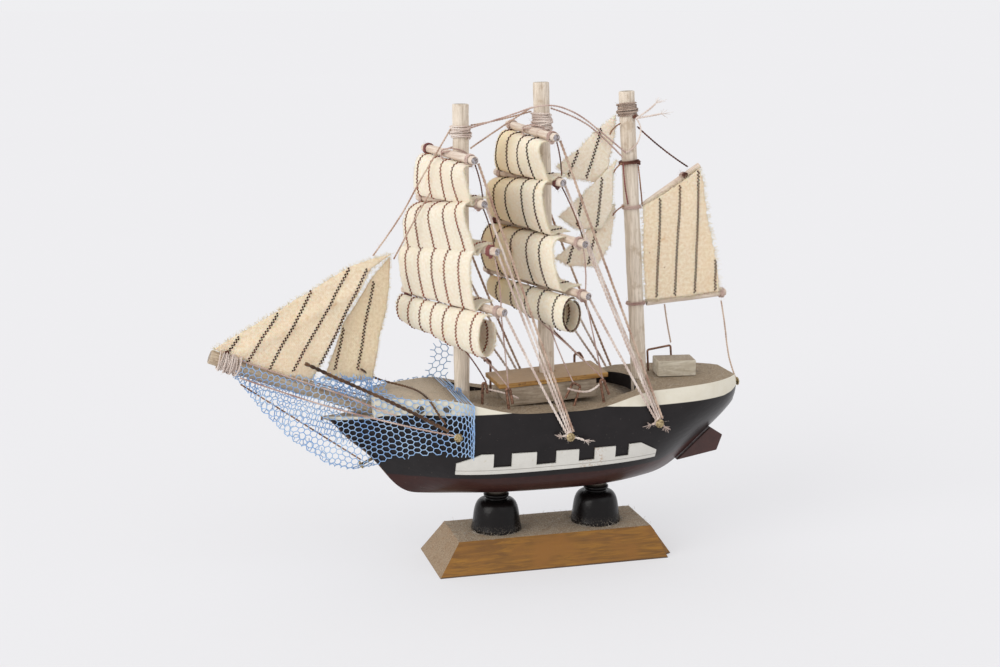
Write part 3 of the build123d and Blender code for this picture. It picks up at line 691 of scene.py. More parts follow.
def stick(node, start, end, radius, material, body, finish, wobble=0.03, taper=0.0, nubs=()):
    """A hand-cut round stick that stands for a CAD rod, with softened ends."""
    start, end = np.array(start, float), np.array(end, float)
    length = float(np.linalg.norm(end - start))
    along = (end - start) / length
    side = unit(np.cross(along, (0.31, 0.22, 0.93)))
    other = np.cross(along, side)
    inner = np.linspace(0.35, length - 0.35, max(12, int(length / 1.5)))
    stations = [(0.0, 0.0, 1.0), (0.0, 0.80, 1.0), (0.0, 0.90, 0.0), (0.12, 0.975, 0.0)]
    stations += [(place, 1.0, 0.0) for place in inner]
    stations += [(length - 0.12, 0.975, 0.0), (length, 0.90, 0.0), (length, 0.80, 1.0),
                 (length, 0.0, 1.0)]
    sides = 28
    seed = dice.uniform(0, 90)
    points, flags, local = [], [], []
    for place, share, tip in stations:
        for index in range(sides):
            angle = index * 2 * math.pi / sides
            spot = Vector((place * 0.07 + seed, math.cos(angle) * 0.7, math.sin(angle) * 0.7))
            fine = Vector((place * 0.5 + seed, math.cos(angle) * 2.5, math.sin(angle) * 2.5))
            size = radius * share * (1 - taper * place / length)
            size *= 1 + wobble * (noise.noise(spot) * 1.4 + noise.noise(fine) * 0.5 - 0.4)
            for nub_place, nub_angle, nub_height in nubs:
                near = math.exp(-((place - nub_place) / 1.1) ** 2)
                turn = math.cos(angle - nub_angle)
                size += nub_height * near * max(0.0, turn) ** 6
            across = (size * math.cos(angle), size * math.sin(angle))
            points.append(start + along * place + side * across[0] + other * across[1])
            local.append((place, *across))
            flags.append(tip)
    made = mesh_object(node + "_stick", points, ring_faces(len(stations), sides), None,
                       material, finish=finish)
    keep(made.data, "stick", "FLOAT_VECTOR", local)
    keep(made.data, "tip", "FLOAT", flags)
    shape = bmesh.new()
    shape.from_mesh(made.data)
    bmesh.ops.remove_doubles(shape, verts=shape.verts, dist=1e-6)
    bmesh.ops.recalc_face_normals(shape, faces=shape.faces)
    shape.to_mesh(made.data)
    shape.free()
    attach(made, body)
    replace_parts(made, node)


# The same masts and yards as the CAD model.
MAST_RADIUS = 2.9
YARD_RADIUS = 1.5
YARD_GAP = 0.15
SAIL_GAP = 0.3
MASTS = {
    "fore": ((32.6, 60.8), (32.6, 168.4)),
    "main": ((0.2, 60.8), (3.2, 175.6)),
    "mizzen": ((-35.5, 65.9), (-28.8, 172.0)),
}
YARDS = {
    "fore_yard_1": ("fore", 151.1, 10.3, -1.3, 22.1, 21.9),
    "fore_yard_2": ("fore", 134.7, 18.7, 2.4, 21.7, 22.3),
    "fore_yard_3": ("fore", 119.2, 28.0, 0.0, 24.0, 24.0),
    "fore_yard_4": ("fore", 99.0, 26.7, -0.9, 27.7, 28.3),
    "main_yard_1": ("main", 158.7, 7.8, -2.6, 19.8, 22.2),
    "main_yard_2": ("main", 141.9, 17.0, 0.0, 24.3, 19.7),
    "main_yard_3": ("main", 123.4, 18.7, -3.0, 26.9, 31.1),
    "main_yard_4": ("main", 104.3, 22.0, -2.0, 30.0, 30.0),
}
GAFF = ((-35.9, 0.0, 130.2), (-57.6, 0.0, 144.6))
BOOM = ((-37.9, 0.0, 94.4), (-69.3, 0.0, 96.7))
BOWSPRIT = ((58.0, 0.0, 57.0), (122.6, 0.0, 82.9))


def mast_axis(name, z):
    (foot_x, foot_z), (top_x, top_z) = MASTS[name]
    return foot_x + (top_x - foot_x) * (z - foot_z) / (top_z - foot_z)


def mast_place(name, z):
    """A mast's centre at a height, and the way the mast leans there."""
    low = np.array((mast_axis(name, z), 0, z))
    return low, np.array((mast_axis(name, z + 1), 0, z + 1)) - low


def yard_point(name, reach, forward=0.0, drop=0.0):
    """A point on a yard's axis, measured to port from the mast, or moved off that axis."""
    mast_name, z, slew, tilt, _, _ = YARDS[name]
    slew, tilt = math.radians(slew), math.radians(tilt)
    standoff = MAST_RADIUS + YARD_GAP + YARD_RADIUS + forward
    return np.array((
        mast_axis(mast_name, z) + standoff * math.cos(slew)
        - reach * math.sin(slew) * math.cos(tilt),
        standoff * math.sin(slew) + reach * math.cos(slew) * math.cos(tilt),
        z + reach * math.sin(tilt) - drop,
    ))


def make_sticks():
    """Masts, yards, gaff, boom and bowsprit."""
    painted, bare = MATERIALS["whitewashed_wood"], MATERIALS["bare_wood"]
    for name, ((_, foot_z), (top_x, top_z)) in MASTS.items():
        low = foot_z - 13.5
        nubs = []
        if name == "mizzen":
            nubs = [(141.4 - low, 2.2, 1.3), (111.0 - low, 2.4, 1.4)]
        stick(f"{name}_mast", (mast_axis(name, low), 0, low), (top_x, 0, top_z), MAST_RADIUS,
              painted, "ship", "whitewashed_wood", 0.05, nubs=nubs)
    for name, (owner, _, _, _, starboard, port) in YARDS.items():
        stick(name, yard_point(name, -starboard), yard_point(name, port), YARD_RADIUS, bare,
              f"{owner}_yards", "bare_wood", 0.06)
    stick("gaff", *GAFF, 1.3, bare, "spanker", "bare_wood", 0.08, taper=0.1)
    stick("boom", *BOOM, 1.4, bare, "spanker", "bare_wood", 0.08)
    stick("bowsprit", *BOWSPRIT, 2.5, MATERIALS["bowsprit_wood"], "ship", "bare_wood", 0.06)


# Cloth --------------------------------------------------------------------------------

STITCH_PITCH = 1.25
STITCH_COLUMN = 0.25
STITCH_REACH = 0.25
STITCH_RADII = [0.24, 0.30, 0.24]
CLOTH = 0.34
SAIL_FRAY = 1.05
SIDE_FRAY_PER_MM, END_FRAY_PER_MM, FLAT_FRAY_PER_MM = 8.0, 6.0, 5.0
FLAT_MESH_STEP = 1.1
FLAT_EDGE_ROUGHNESS = 0.55
WARP_PITCH, WEFT_PITCH = 0.62, 0.55


def solid_cloth(name, points, faces, flat, material, body):
    """A sheet given its thickness, which keeps its place in the flat cloth."""
    data = bpy.data.meshes.new(name)
    data.from_pydata((np.array(points, float) * MM).tolist(), [], faces)
    keep(data, "cloth", "FLOAT_VECTOR", flat)
    shape = bmesh.new()
    shape.from_mesh(data)
    bmesh.ops.recalc_face_normals(shape, faces=shape.faces)
    loose = [vertex for vertex in shape.verts if not vertex.link_faces]
    bmesh.ops.delete(shape, geom=loose, context="VERTS")
    shape.normal_update()
    half = {vertex: vertex.normal * CLOTH * MM / 2 for vertex in shape.verts}
    rim = [edge for edge in shape.edges if edge.is_boundary]
    copy = bmesh.ops.duplicate(shape, geom=list(shape.faces))
    twin = {vertex: copy["vert_map"][vertex] for vertex in half}
    for vertex, step in half.items():
        vertex.co += step
        twin[vertex].co -= step
    for edge in rim:
        first, second = edge.verts
        shape.faces.new((first, second, twin[second], twin[first]))
    bmesh.ops.recalc_face_normals(shape, faces=shape.faces)
    shape.to_mesh(data)
    shape.free()
    data.materials.append(material)
    data.shade_smooth()
    return put(name, data, body, "sailcloth")


class Stitching:
    """Columns of short dark stitches that lie on both faces of a sail."""

    def __init__(self):
        self.bundle = Bundle()

    def along(self, line, across, normals, offset):
        """Stitches beside a line that runs over the cloth."""
        line = np.asarray(line, float)
        along = distances(line)
        columns = ((-STITCH_COLUMN, 0.0), (STITCH_COLUMN, 0.5))
        for shift, phase in columns:
            places = np.arange(0.3 + phase * STITCH_PITCH, along[-1] - 0.3, STITCH_PITCH)
            for place in places:
                reach = STITCH_REACH + dice.uniform(-0.03, 0.03)
                span = [place - reach, place, place + reach]
                centre = self.at(line, along, span)
                sideways = self.at(across, along, span)
                outward = self.at(normals, along, span)
                slant = np.array([-0.10, 0.0, 0.10])[:, None] * sideways * (1 if shift > 0 else -1)
                for face in (1, -1):
                    lift = outward * face * (offset + np.array([0.02, 0.12, 0.02])[:, None])
                    self.bundle.tube(centre + sideways * shift + slant + lift,
                                     STITCH_RADII, 6)

    @staticmethod
    def at(values, along, span):
        values = np.asarray(values, float)
        return np.stack([np.interp(span, along, values[:, i]) for i in range(3)], axis=1)

    def build(self, name, body, material="stitch"):
        return self.bundle.build(name, body, MATERIALS[material], finish="dark_twine")


def unit_sides(line, beside):
    """Unit directions sideways from a line on cloth and square to the cloth."""
    across = unit(beside)
    return across, unit(np.cross(across, np.gradient(line, axis=0)))


def fringe(bundle, edge, outward, normals, per_mm, length):
    """Short loose fibres along a cut edge of cloth."""
    edge = np.asarray(edge, float)
    along = distances(edge)
    for _ in range(int(along[-1] * per_mm)):
        span = [dice.uniform(0, along[-1])]
        root = Stitching.at(edge, along, span)[0]
        way = Stitching.at(outward, along, span)[0]
        lift = Stitching.at(normals, along, span)[0]
        slope = Stitching.at(np.gradient(edge, axis=0), along, span)[0]
        slope = unit(slope)
        way = unit(way + slope * dice.gauss(0, 0.45) + lift * dice.gauss(0, 0.3))
        bend = slope * dice.gauss(0, 0.35) + lift * dice.gauss(0, 0.3)
        reach = length * dice.uniform(0.35, 1.0)
        steps = np.linspace(0, 1, 4)[:, None]
        bundle.tube(root - way * 0.15 + lift * dice.uniform(-0.12, 0.12)
                    + way * reach * steps + bend * reach * steps ** 2,
                    0.065 * np.linspace(1.0, 0.7, 4), 3)


# Square sails: upper yard, lower yard, reach to starboard and port, billow, stripe places.
SQUARE_SAILS = {
    "fore_sail_1": ("fore_yard_1", "fore_yard_2", 19.5, 19.5, 4.6, (-15.8, -6.3, 2.8, 12.3)),
    "fore_sail_2": ("fore_yard_2", "fore_yard_3", 19.5, 18.5, 7.2,
                    (-17.2, -10.4, -2.2, 6.4, 14.3)),
    "fore_sail_3": ("fore_yard_3", "fore_yard_4", 21.5, 18.0, 7.0,
                    (-16.7, -9.5, -2.0, 5.4, 12.2)),
    "main_sail_1": ("main_yard_1", "main_yard_2", 17.5, 17.0, 6.0, (-14.9, -7.0, 1.4, 9.0)),
    "main_sail_2": ("main_yard_2", "main_yard_3", 21.0, 17.0, 7.2, (-14.2, -5.2, 4.1, 13.2)),
    "main_sail_3": ("main_yard_3", "main_yard_4", 24.0, 21.5, 7.6,
                    (-22.9, -13.0, -3.0, 6.2, 14.7)),
}
# How far each sail sags near its foot, at the starboard and the port end, and then how far
# it sags near its head, at the same ends.
SAG = {"fore_sail_1": (1.5, 3.2, 0.0, 0.0), "fore_sail_2": (6.6, 4.6, 0.5, 0.0),
       "fore_sail_3": (2.8, 3.8, 0.0, 0.0), "main_sail_1": (1.0, 2.6, 0.0, 0.0),
       "main_sail_2": (1.0, 2.0, 0.5, 0.0), "main_sail_3": (1.4, 2.4, 0.4, 0.0)}


def curved_sail(name, body, point, starboard, port, stripes, rows=64, bound=False):
    """A sail whose rows follow point(reach, share) from its head to its foot."""
    columns = int((starboard + port) / 0.8)
    reaches = np.linspace(-starboard, port, columns + 1)
    shares = np.linspace(0, 1, rows + 1)
    points, flat = [], []
    for reach in reaches:
        ragged = 0.0
        if reach in (reaches[0], reaches[-1]):
            ragged = 0.36
        line = []
        for share in shares:
            jag = ragged * noise.noise(Vector((share * 40, reach, 3.0)))
            line.append(point(reach + jag, share))
        line = np.array(line)
        depth = distances(line)
        points.extend(line)
        flat.extend((reach, down, 0.0) for down in depth)
    faces = []
    step = rows + 1
    for column in range(columns):
        for row in range(rows):
            low = column * step + row
            faces.append((low, low + 1, low + step + 1, low + step))
    points = np.array(points)
    # The main sails take the cloth with painted shade on their starboard part.
    cloth = MATERIALS["main_cloth" if name.startswith("main") else "sailcloth"]
    made = solid_cloth(name + "_cloth", points, faces, flat, cloth, body)
    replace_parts(made, name)

    def upright(reach):
        return np.array([point(reach, share) for share in shares])

    def level(share):
        return np.array([point(reach, share) for reach in reaches])

    stitching = Stitching()
    for reach in stripes:
        line = upright(reach)
        across, normals = unit_sides(line, upright(reach + 0.5) - line)
        stitching.along(line, across, normals, CLOTH / 2)
    stitches = stitching.build(name + "_stitching", body,
                               "brown_stitch" if name.startswith("fore") else "stitch")

    loose = Bundle()
    for end, sign in ((-starboard, -1), (port, 1)):
        line = upright(end)
        outward, normals = unit_sides(line, line - upright(end - sign * 0.5))
        fringe(loose, line, outward, normals, SIDE_FRAY_PER_MM, SAIL_FRAY)
    for share, inner in ((0.0, 0.02), (1.0, 0.98)):
        line = level(share)
        outward, normals = unit_sides(line, line - level(inner))
        fringe(loose, line, outward, normals, END_FRAY_PER_MM, SAIL_FRAY)
    hair = loose.build(name + "_fray", body, MATERIALS["cloth_fibre"], finish="sailcloth")
    if bound:
        edge = np.array([point(port + 0.05, share) for share in shares[4:-2]])
        cord = Bundle()
        cord.twisted(edge, 0.8)
        cord.build(name + "_edge_cord", body, MATERIALS["stitch"],
                                 finish="dark_twine")
    deep = float(np.max(np.array(flat)[:, 1]))


def ripple(first, second, size):
    """A smooth irregular wave for cloth."""
    return size * noise.noise(Vector((first, second, 11.0)))


def make_square_sails():
    """Six billowing sails, each between two yards."""
    for name, (upper, lower, starboard, port, billow, stripes) in SQUARE_SAILS.items():
        mean = math.radians((YARDS[upper][2] + YARDS[lower][2]) / 2)
        forward = np.array((math.cos(mean), math.sin(mean), 0))
        seed = len(name) + 17 * int(name[-1]) + (40 if name.startswith("main") else 0)
        hangs = SAG[name]

        def point(reach, share):
            across = (reach + starboard) / (starboard + port)
            lead, low = 0.5, YARD_RADIUS + SAIL_GAP
            if not upper.endswith("1"):
                lead, low = 0.6 + 0.9 * across, 1.8 - 2.9 * across
            head = yard_point(upper, reach, forward=lead, drop=low)
            foot = yard_point(lower, reach, forward=-0.2, drop=-YARD_RADIUS - SAIL_GAP - 0.1)
            lip = 0.09
            swell = 1 + 0.10 * noise.noise(Vector((reach * 0.06, seed, 0)))
            if share > 1 - lip:
                past = (share - 1 + lip) / lip
                clear = min(1.0, max(0.0, (abs(reach) - 4.0) / 3.0))
                aft = past * (0.9 + 2.4 * clear)
                rise = 0.25 * past + 0.5 * past ** 2 * noise.noise(
                    Vector((reach * 0.15, seed, 5)))
                return foot - forward * aft + np.array((0, 0, rise))
            angle = math.pi / 2 - math.pi * share / (1 - lip)
            down = (1 - math.copysign(abs(math.sin(angle)) ** 0.8, math.sin(angle))) / 2
            out = abs(math.cos(angle)) ** 0.66 * billow * swell
            edge = min(reach + starboard, port - reach)
            curl = 0.8 * math.exp(-edge / 1.6) * math.cos(angle)
            out += -curl + ripple(reach * 0.12 + seed, share * 2.2, 0.9) * math.cos(angle)
            place = share / (1 - lip)
            sag = hangs[0] + (hangs[1] - hangs[0]) * across
            shoulder = hangs[2] + (hangs[3] - hangs[2]) * across
            hang = sag * math.exp(-((place - 0.82) / 0.13) ** 2) * (1 - place ** 12)
            hang += shoulder * math.exp(-((place - 0.18) / 0.13) ** 2) \
                * (1 - (1 - place) ** 12)
            return head * (1 - down) + foot * down + forward * out - np.array((0, 0, hang))

        owner = YARDS[upper][0]
        curved_sail(name, f"{owner}_yards", point, starboard, port, stripes)


# Rolled sails: yard, reach to starboard and port, depth and height of the roll, stripes.
ROLLED_SAILS = {
    "fore_sail_4": ("fore_yard_4", 23.8, 24.0, 9.0, 15.6,
                    (-23.0, -16.2, -9.4, -2.7, 4.4, 11.8, 19.9)),
    "main_sail_4": ("main_yard_4", 21.0, 25.5, 8.5, 12.6, (-14.7, -5.5, 3.5, 11.3, 19.9)),
}


def make_rolled_sails():
    """The two lowest sails, each rolled up in front of its yard."""
    for name, (yard_name, starboard, port, depth, height, stripes) in ROLLED_SAILS.items():
        slew = math.radians(YARDS[yard_name][2])
        forward = np.array((math.cos(slew), math.sin(slew), 0))
        ahead = depth / 2 - 0.6
        pointed = name.startswith("fore")

        def point(reach, share):
            top = yard_point(yard_name, reach, forward=ahead, drop=YARD_RADIUS - 0.6)
            angle = math.radians(118 - (345 if pointed else 385) * share)
            shrink = 1 - 0.16 * max(0.0, share - 0.55) / 0.45
            across, down = math.cos(angle), math.sin(angle)
            if pointed:
                across = math.copysign(abs(across) ** 1.1, across)
                down = math.copysign(abs(down) ** 0.85, down)
            size = 1 + 0.07 * noise.noise(Vector((reach * 0.08, share * 2, 3)))
            narrow = max(0.0, 1 - (reach + starboard) / (starboard + port))
            size *= 1 - 0.36 * narrow ** 1.3
            end = min(reach + starboard, port - reach)
            size -= 0.05 * math.exp(-end / 2.0)
            out = across * (depth / 2 - 0.2) * shrink * size
            fall = (-height / 2 + down * (height / 2 - 0.2) * shrink) * size
            fall += ripple(reach * 0.1, share * 3, 0.35)
            return top + forward * out + np.array((0, 0, fall))

        owner = YARDS[yard_name][0]
        curved_sail(name, f"{owner}_yards", point, starboard, port, stripes,
                    rows=90, bound=not pointed)


# Flat sails as corners in X and Z, with their sideways place.
FLAT_SAILS = {
    "outer_jib": [(121.0, 85.6), (98.8, 98.0), (72.8, 112.6), (66.0, 114.6), (58.0, 116.2),
                  (65.4, 111.4), (75.2, 94.5), (87.6, 71.6), (98.4, 75.2), (108.8, 79.2),
                  (117.2, 83.0)],
    "inner_jib": [(58.1, 115.0), (58.6, 106.7), (59.8, 96.6), (62.1, 88.4), (65.3, 70.9),
                  (73.4, 70.8), (82.6, 71.9), (75.4, 91.7), (64.7, 108.4)],
    "staysail_upper": [(-25.0, 163.6), (-16.0, 157.0), (-10.4, 151.3), (-2.4, 145.6),
                       (-7.1, 141.3), (-20.8, 139.1), (-22.2, 147.4), (-24.6, 157.0)],
    "staysail_middle": [(-25.2, 147.6), (-15.4, 138.5), (-9.8, 133.3), (-3.4, 127.4),
                        (-10.7, 122.7), (-19.4, 122.7), (-23.2, 129.2), (-24.1, 143.7)],
    "staysail_lower": [(-25.5, 131.4), (-15.6, 122.9), (-8.1, 116.2), (-2.4, 112.2),
                       (-8.1, 109.2), (-18.5, 108.4), (-23.4, 116.3), (-24.6, 123.6)],
    "spanker_sail": [(-35.4, 130.4), (-46.5, 136.6), (-57.0, 143.6), (-58.8, 138.4),
                     (-59.4, 131.9), (-60.8, 124.4), (-63.0, 115.0), (-65.1, 105.4),
                     (-66.2, 97.6), (-54.6, 96.3), (-37.0, 95.6), (-36.0, 114.2)],
}
SAIL_Y = {"outer_jib": 0.0, "inner_jib": -1.6, "staysail_upper": 0.0,
          "staysail_middle": 1.0, "staysail_lower": -1.0, "spanker_sail": 1.6}
STRIPES = {
    "outer_jib": [((112.1, 89.6), (117.0, 83.2)), ((98.6, 97.4), (110.0, 79.6)),
                  ((86.8, 104.8), (102.3, 76.8)), ((73.1, 112.1), (94.2, 75.7)),
                  ((66.8, 111.5), (84.4, 77.7))],
    "inner_jib": [((64.3, 106.7), (70.8, 74.8)), ((75.2, 90.4), (78.8, 74.8))],
    "staysail_upper": [((-10.7, 151.2), (-6.9, 141.8)), ((-19.2, 158.9), (-13.6, 140.6))],
    "staysail_middle": [((-11.9, 135.0), (-10.1, 123.5)), ((-19.4, 141.4), (-17.7, 123.2))],
    "staysail_lower": [((-9.4, 116.6), (-7.5, 110.0)), ((-18.3, 124.6), (-15.1, 109.2))],
    "spanker_sail": [((-41.6, 133.2), (-41.2, 96.2)), ((-49.3, 137.8), (-48.4, 96.4)),
                     ((-56.6, 142.8), (-56.3, 96.8)), ((-64.0, 109.6), (-64.6, 97.8))],
}


def belly(name, x, z):
    """How far a flat sail stands off its plane at a point: a soft belly and folds."""
    corners = np.array(FLAT_SAILS[name])
    centre, reach = corners.mean(axis=0), np.ptp(corners, axis=0) / 2
    u, v = (x - centre[0]) / reach[0], (z - centre[1]) / reach[1]
    swell = {"outer_jib": 1.4, "inner_jib": 1.0, "spanker_sail": 0.8}.get(name, 1.1)
    soft = swell * max(0.0, 1 - 0.8 * (u * u + v * v))
    fold = 0.75 * noise.noise(Vector((x * 0.11, z * 0.05, len(name)))) \
        + 0.25 * noise.noise(Vector((x * 0.33, z * 0.2, len(name) + 5.0)))
    if name == "outer_jib":
        crease = (z - 85.6) - (x - 121.0) * -0.50
        soft += 0.7 * math.exp(-((crease + 6.5) / 2.2) ** 2)
    return SAIL_Y[name] + soft + fold


def ragged_outline(corners, rough):
    """The outline at about 1 mm steps, cut a little unevenly."""
    closed = np.array(corners + corners[:1], float)
    line = []
    for first, second in zip(closed, closed[1:]):
        steps = max(1, int(np.linalg.norm(second - first) / 0.9))
        for index in range(steps):
            line.append(first + (second - first) * index / steps)
    line = np.array(line)
    centre = line.mean(axis=0)
    for index, place in enumerate(line):
        way = unit(place - centre)
        line[index] = place + way * rough * noise.noise(Vector((place[0] * 1.3,
                                                                place[1] * 1.3, 2.0)))
    return line


# The inner jib takes a darker tan cloth: partly its own tan, partly painted shade from the outer jib
# beside it.
CLOTH_OF = {"outer_jib": "jib_cloth", "inner_jib": "tan_shaded_cloth", "spanker_sail": "jib_cloth"}


def filled(outline):
    """Triangles that fill an outline: their places in X and Z, and their faces."""
    low, high = outline.min(axis=0), outline.max(axis=0)
    inside = []
    for x in np.arange(low[0], high[0], FLAT_MESH_STEP):
        for z in np.arange(low[1], high[1], FLAT_MESH_STEP):
            inside.append((x + dice.uniform(-0.1, 0.1), z + dice.uniform(-0.1, 0.1)))
    places = [Vector(place) for place in outline] + [Vector(place) for place in inside]
    count = len(outline)
    rim = [(index, (index + 1) % count) for index in range(count)]
    found = delaunay_2d_cdt(places, rim, [], 1, 1e-4)
    return np.array([tuple(place) for place in found[0]]), [tuple(face) for face in found[2]]


def stripe_line(name, start, end):
    """A stripe's line over a flat sail, and the same line half a millimetre beside it."""
    (x0, z0), (x1, z1) = start, end
    line, beside = [], []
    sideways = unit((z1 - z0, x0 - x1))
    for share in np.linspace(0, 1, 60):
        bow = 0.5 * math.sin(share * math.pi) * noise.noise(Vector((x0, share * 2, 7)))
        x = x0 + (x1 - x0) * share + sideways[0] * bow
        z = z0 + (z1 - z0) * share + sideways[1] * bow
        line.append((x, belly(name, x, z), z))
        x, z = x + sideways[0] * 0.5, z + sideways[1] * 0.5
        beside.append((x, belly(name, x, z), z))
    return np.array(line), np.array(beside)


def frayed_edge(name, outline):
    """Loose fibres all round a flat sail, and the area inside its outline."""
    loose = Bundle()
    loop = np.concatenate([outline, outline[:1]])
    edge = np.array([(x, belly(name, x, z), z) for x, z in loop])
    slopes = np.gradient(loop, axis=0)
    outward = np.stack([slopes[:, 1], slopes[:, 0] * 0, -slopes[:, 0]], axis=1)
    area = sum(a[0] * b[1] - b[0] * a[1] for a, b in zip(loop, loop[1:])) / 2
    outward = unit(outward if area > 0 else -outward)
    normals = np.tile((0.0, 1.0, 0.0), (len(edge), 1))
    long_fray = {"spanker_sail": 2.0, "outer_jib": 1.6}.get(name, 1.1)
    fringe(loose, edge, outward, normals, FLAT_FRAY_PER_MM, long_fray)
    return loose, abs(area)


def make_flat_sails():
    """Jibs, staysails and spanker, each with its stitching and its frayed edges."""
    for name, corners in FLAT_SAILS.items():
        body = "spanker" if name == "spanker_sail" else "ship"
        outline = ragged_outline(corners, FLAT_EDGE_ROUGHNESS)
        flat, faces = filled(outline)
        points = [(x, belly(name, x, z), z) for x, z in flat]
        cloth = [(x, z, 0.0) for x, z in flat]
        made = solid_cloth(name + "_cloth", points, faces, cloth,
                           MATERIALS[CLOTH_OF.get(name, "stay_cloth")], body)
        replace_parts(made, name)

        stitching = Stitching()
        for start, end in STRIPES[name]:
            line, beside = stripe_line(name, start, end)
            across, normals = unit_sides(line, beside - line)
            stitching.along(line, across, normals, CLOTH / 2)
        stitches = stitching.build(name + "_stitching", body)

        loose, area = frayed_edge(name, outline)
        hair = loose.build(name + "_fray", body, MATERIALS["cloth_fibre"], finish="sailcloth")
        size = np.ptp(np.array(corners), axis=0)
        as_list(SUPPORTS[name])


SUPPORTS = {
    "outer_jib": ["bowsprit_stick"], "inner_jib": ["bowsprit_stick"],
    "staysail_upper": ["mizzen_mast_stick"], "staysail_middle": ["mizzen_mast_stick"],
    "staysail_lower": ["mizzen_mast_stick"], "spanker_sail": ["gaff_stick", "boom_stick"],
}


# Hull-side helpers --------------------------------------------------------------------

def tree_of(*nodes):
    """A search tree over some CAD nodes, in millimetres."""
    points, faces = [], []
    for node in nodes:
        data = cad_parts[node].data
        base = len(points)
        points.extend(Vector(vertex.co) / MM for vertex in data.vertices)
        faces.extend([base + index for index in face.vertices] for face in data.polygons)
    return BVHTree.FromPolygons(points, faces)


def side_hit(tree, x, z, side):
    """Where a level line from one side meets a shape: its point and normal, or None."""
    place, normal, _, _ = tree.ray_cast(Vector((x, side * 60.0, z)), Vector((0, -side, 0)))
    if place is None or place.y * side < -0.2:
        return None
    return np.array(place), np.array(normal)


# Cut wood -----------------------------------------------------------------------------

def softened(node, width, material, finish):
    """A copy of a CAD block with its edges rounded and slightly worn; it stands for it."""
    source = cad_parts[node]
    shape = bmesh.new()
    shape.from_mesh(source.data)
    bmesh.ops.remove_doubles(shape, verts=shape.verts, dist=1e-6)
    bmesh.ops.dissolve_limit(shape, angle_limit=math.radians(1.0), verts=shape.verts,
                             edges=shape.edges)
    sharp = [edge for edge in shape.edges
             if len(edge.link_faces) == 2 and edge.calc_face_angle(0) > math.radians(22)]
    bmesh.ops.bevel(shape, geom=sharp, offset=width * MM, segments=3, profile=0.5,
                    affect="EDGES", clamp_overlap=True)
    data = bpy.data.meshes.new(node + "_wood")
    shape.to_mesh(data)
    shape.free()
    data.materials.append(material)
    data.shade_smooth()
    data.set_sharp_from_angle(angle=math.radians(35))
    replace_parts(put(node + "_wood", data, "ship", finish), node)


def turned(bundle, start, axis, profile, sides=20):
    """A turned shape: profile pairs of height along the axis and radius."""
    start, axis = np.array(start, float), unit(axis)
    first = unit(np.cross(axis, (0.31, 0.22, 0.93)))
    second = np.cross(axis, first)
    points = []
    for height, radius in profile:
        for index in range(sides):
            angle = index * 2 * math.pi / sides
            points.append(start + axis * height + max(radius, 0.02)
                          * (math.cos(angle) * first + math.sin(angle) * second))
    rings = len(profile)
    bundle.add(points, ring_faces(rings, sides) + caps(rings, sides))


NAIL_PROFILE = [(-3.0, 0.1), (-2.2, 0.5), (-2.0, 0.55), (0.0, 0.55), (0.0, 1.2), (0.1, 1.5),
                (0.3, 1.62), (0.5, 1.55), (0.72, 1.2), (0.86, 0.7), (0.9, 0.2)]
SIDE_NAIL_STAND = 2.6


def nail_at(bundle, point, outward, stand):
    profile = [(height + (stand if index > 2 else 0.0), radius)
               for index, (height, radius) in enumerate(NAIL_PROFILE)]
    turned(bundle, point, outward, profile)


# Where the side nails sit, as X and Z.
SIDE_NAILS = {"bow": (39.2, 53.6), "waist": (-0.8, 52.0), "quarter": (-35.1, 54.2)}


def make_hardware():
    """Brass nails, copper wire and the black dots on the bows."""
    brass = MATERIALS["brass_nail"]
    sides = Bundle()
    for x, z in SIDE_NAILS.values():
        for side in (1, -1):
            nail_at(sides, (x, side * side_half_width(x), z), (0, side, 0), SIDE_NAIL_STAND)
    made = sides.build("side_nail_set", "ship", brass, finish="brass_nail")
    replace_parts(made, "side_nails")
    stem = Bundle()
    nail_at(stem, (66.8, 0, 41.6), (0.72, 0, -0.34), 3.4)
    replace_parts(stem.build("stem_nail_turned", "ship", brass, finish="brass_nail"), "stem_nail")
    stern = Bundle()
    nail_at(stern, (-72.6, 0, 61.8), (-1, 0, 0.05), 2.4)
    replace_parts(stern.build("stern_nail_turned", "ship", brass, finish="brass_nail"),
                "stern_nail")
    for node in ("deck_staples", "wire_frame"):
        paint(node, MATERIALS["copper_wire"])
    dots = Bundle()
    for x, z in ((51.4, 63.0), (42.5, 63.3)):
        for side in (1, -1):
            found = side_hit(HULL_TREE, x, z, side)
            if found:
                place, normal = found
                turned(dots, place - normal * 0.4, normal,
                       [(0.0, 1.45), (0.48, 1.45), (0.56, 1.35), (0.5, 0.7)], 24)
    dots.build("hawse_dots", "ship", MATERIALS["black_lacquer"], finish="black_satin_wood")


def side_half_width(x):
    """The hull's half width at the height of the side nails."""
    table = [(46.0, 16.6), (36.0, 20.2), (20.0, 22.4), (0.0, 23.0), (-20.0, 22.6),
             (-34.0, 21.4), (-44.0, 19.6)]
    places = [x0 for x0, _ in table][::-1]
    widths = [width for _, width in table][::-1]
    return float(np.interp(x, places, widths))


def paint(node, material):
    """Give a CAD node a finished material."""
    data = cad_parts[node].data
    data.materials.clear()
    data.materials.append(material)


# Cords --------------------------------------------------------------------------------

def make_cord(name, route, diameter, material, finish, node=None, body="ship", swings=None,
              fuzz=1.0, declare=True):
    """A twisted thread that follows a route's smooth line."""
    line = nurbs_line(route)
    length = float(distances(line)[-1])
    bundle = Bundle()
    bundle.twisted(line, diameter)
    bundle.hairs(line, int(length * CORD_HAIRS_PER_MM * fuzz), CORD_HAIR_LENGTH)
    if swings:
        made = bundle.build(name, None, material, finish=finish)
        Vector(route[-1]) * MM
        Vector(route[0]) * MM
        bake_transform(made)
    else:
        made = bundle.build(name, body, material, finish=finish)
    if node:
        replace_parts(made, node)
    if declare and length >= SHORTEST_CORD:
        [value * MM for value in route[0]]


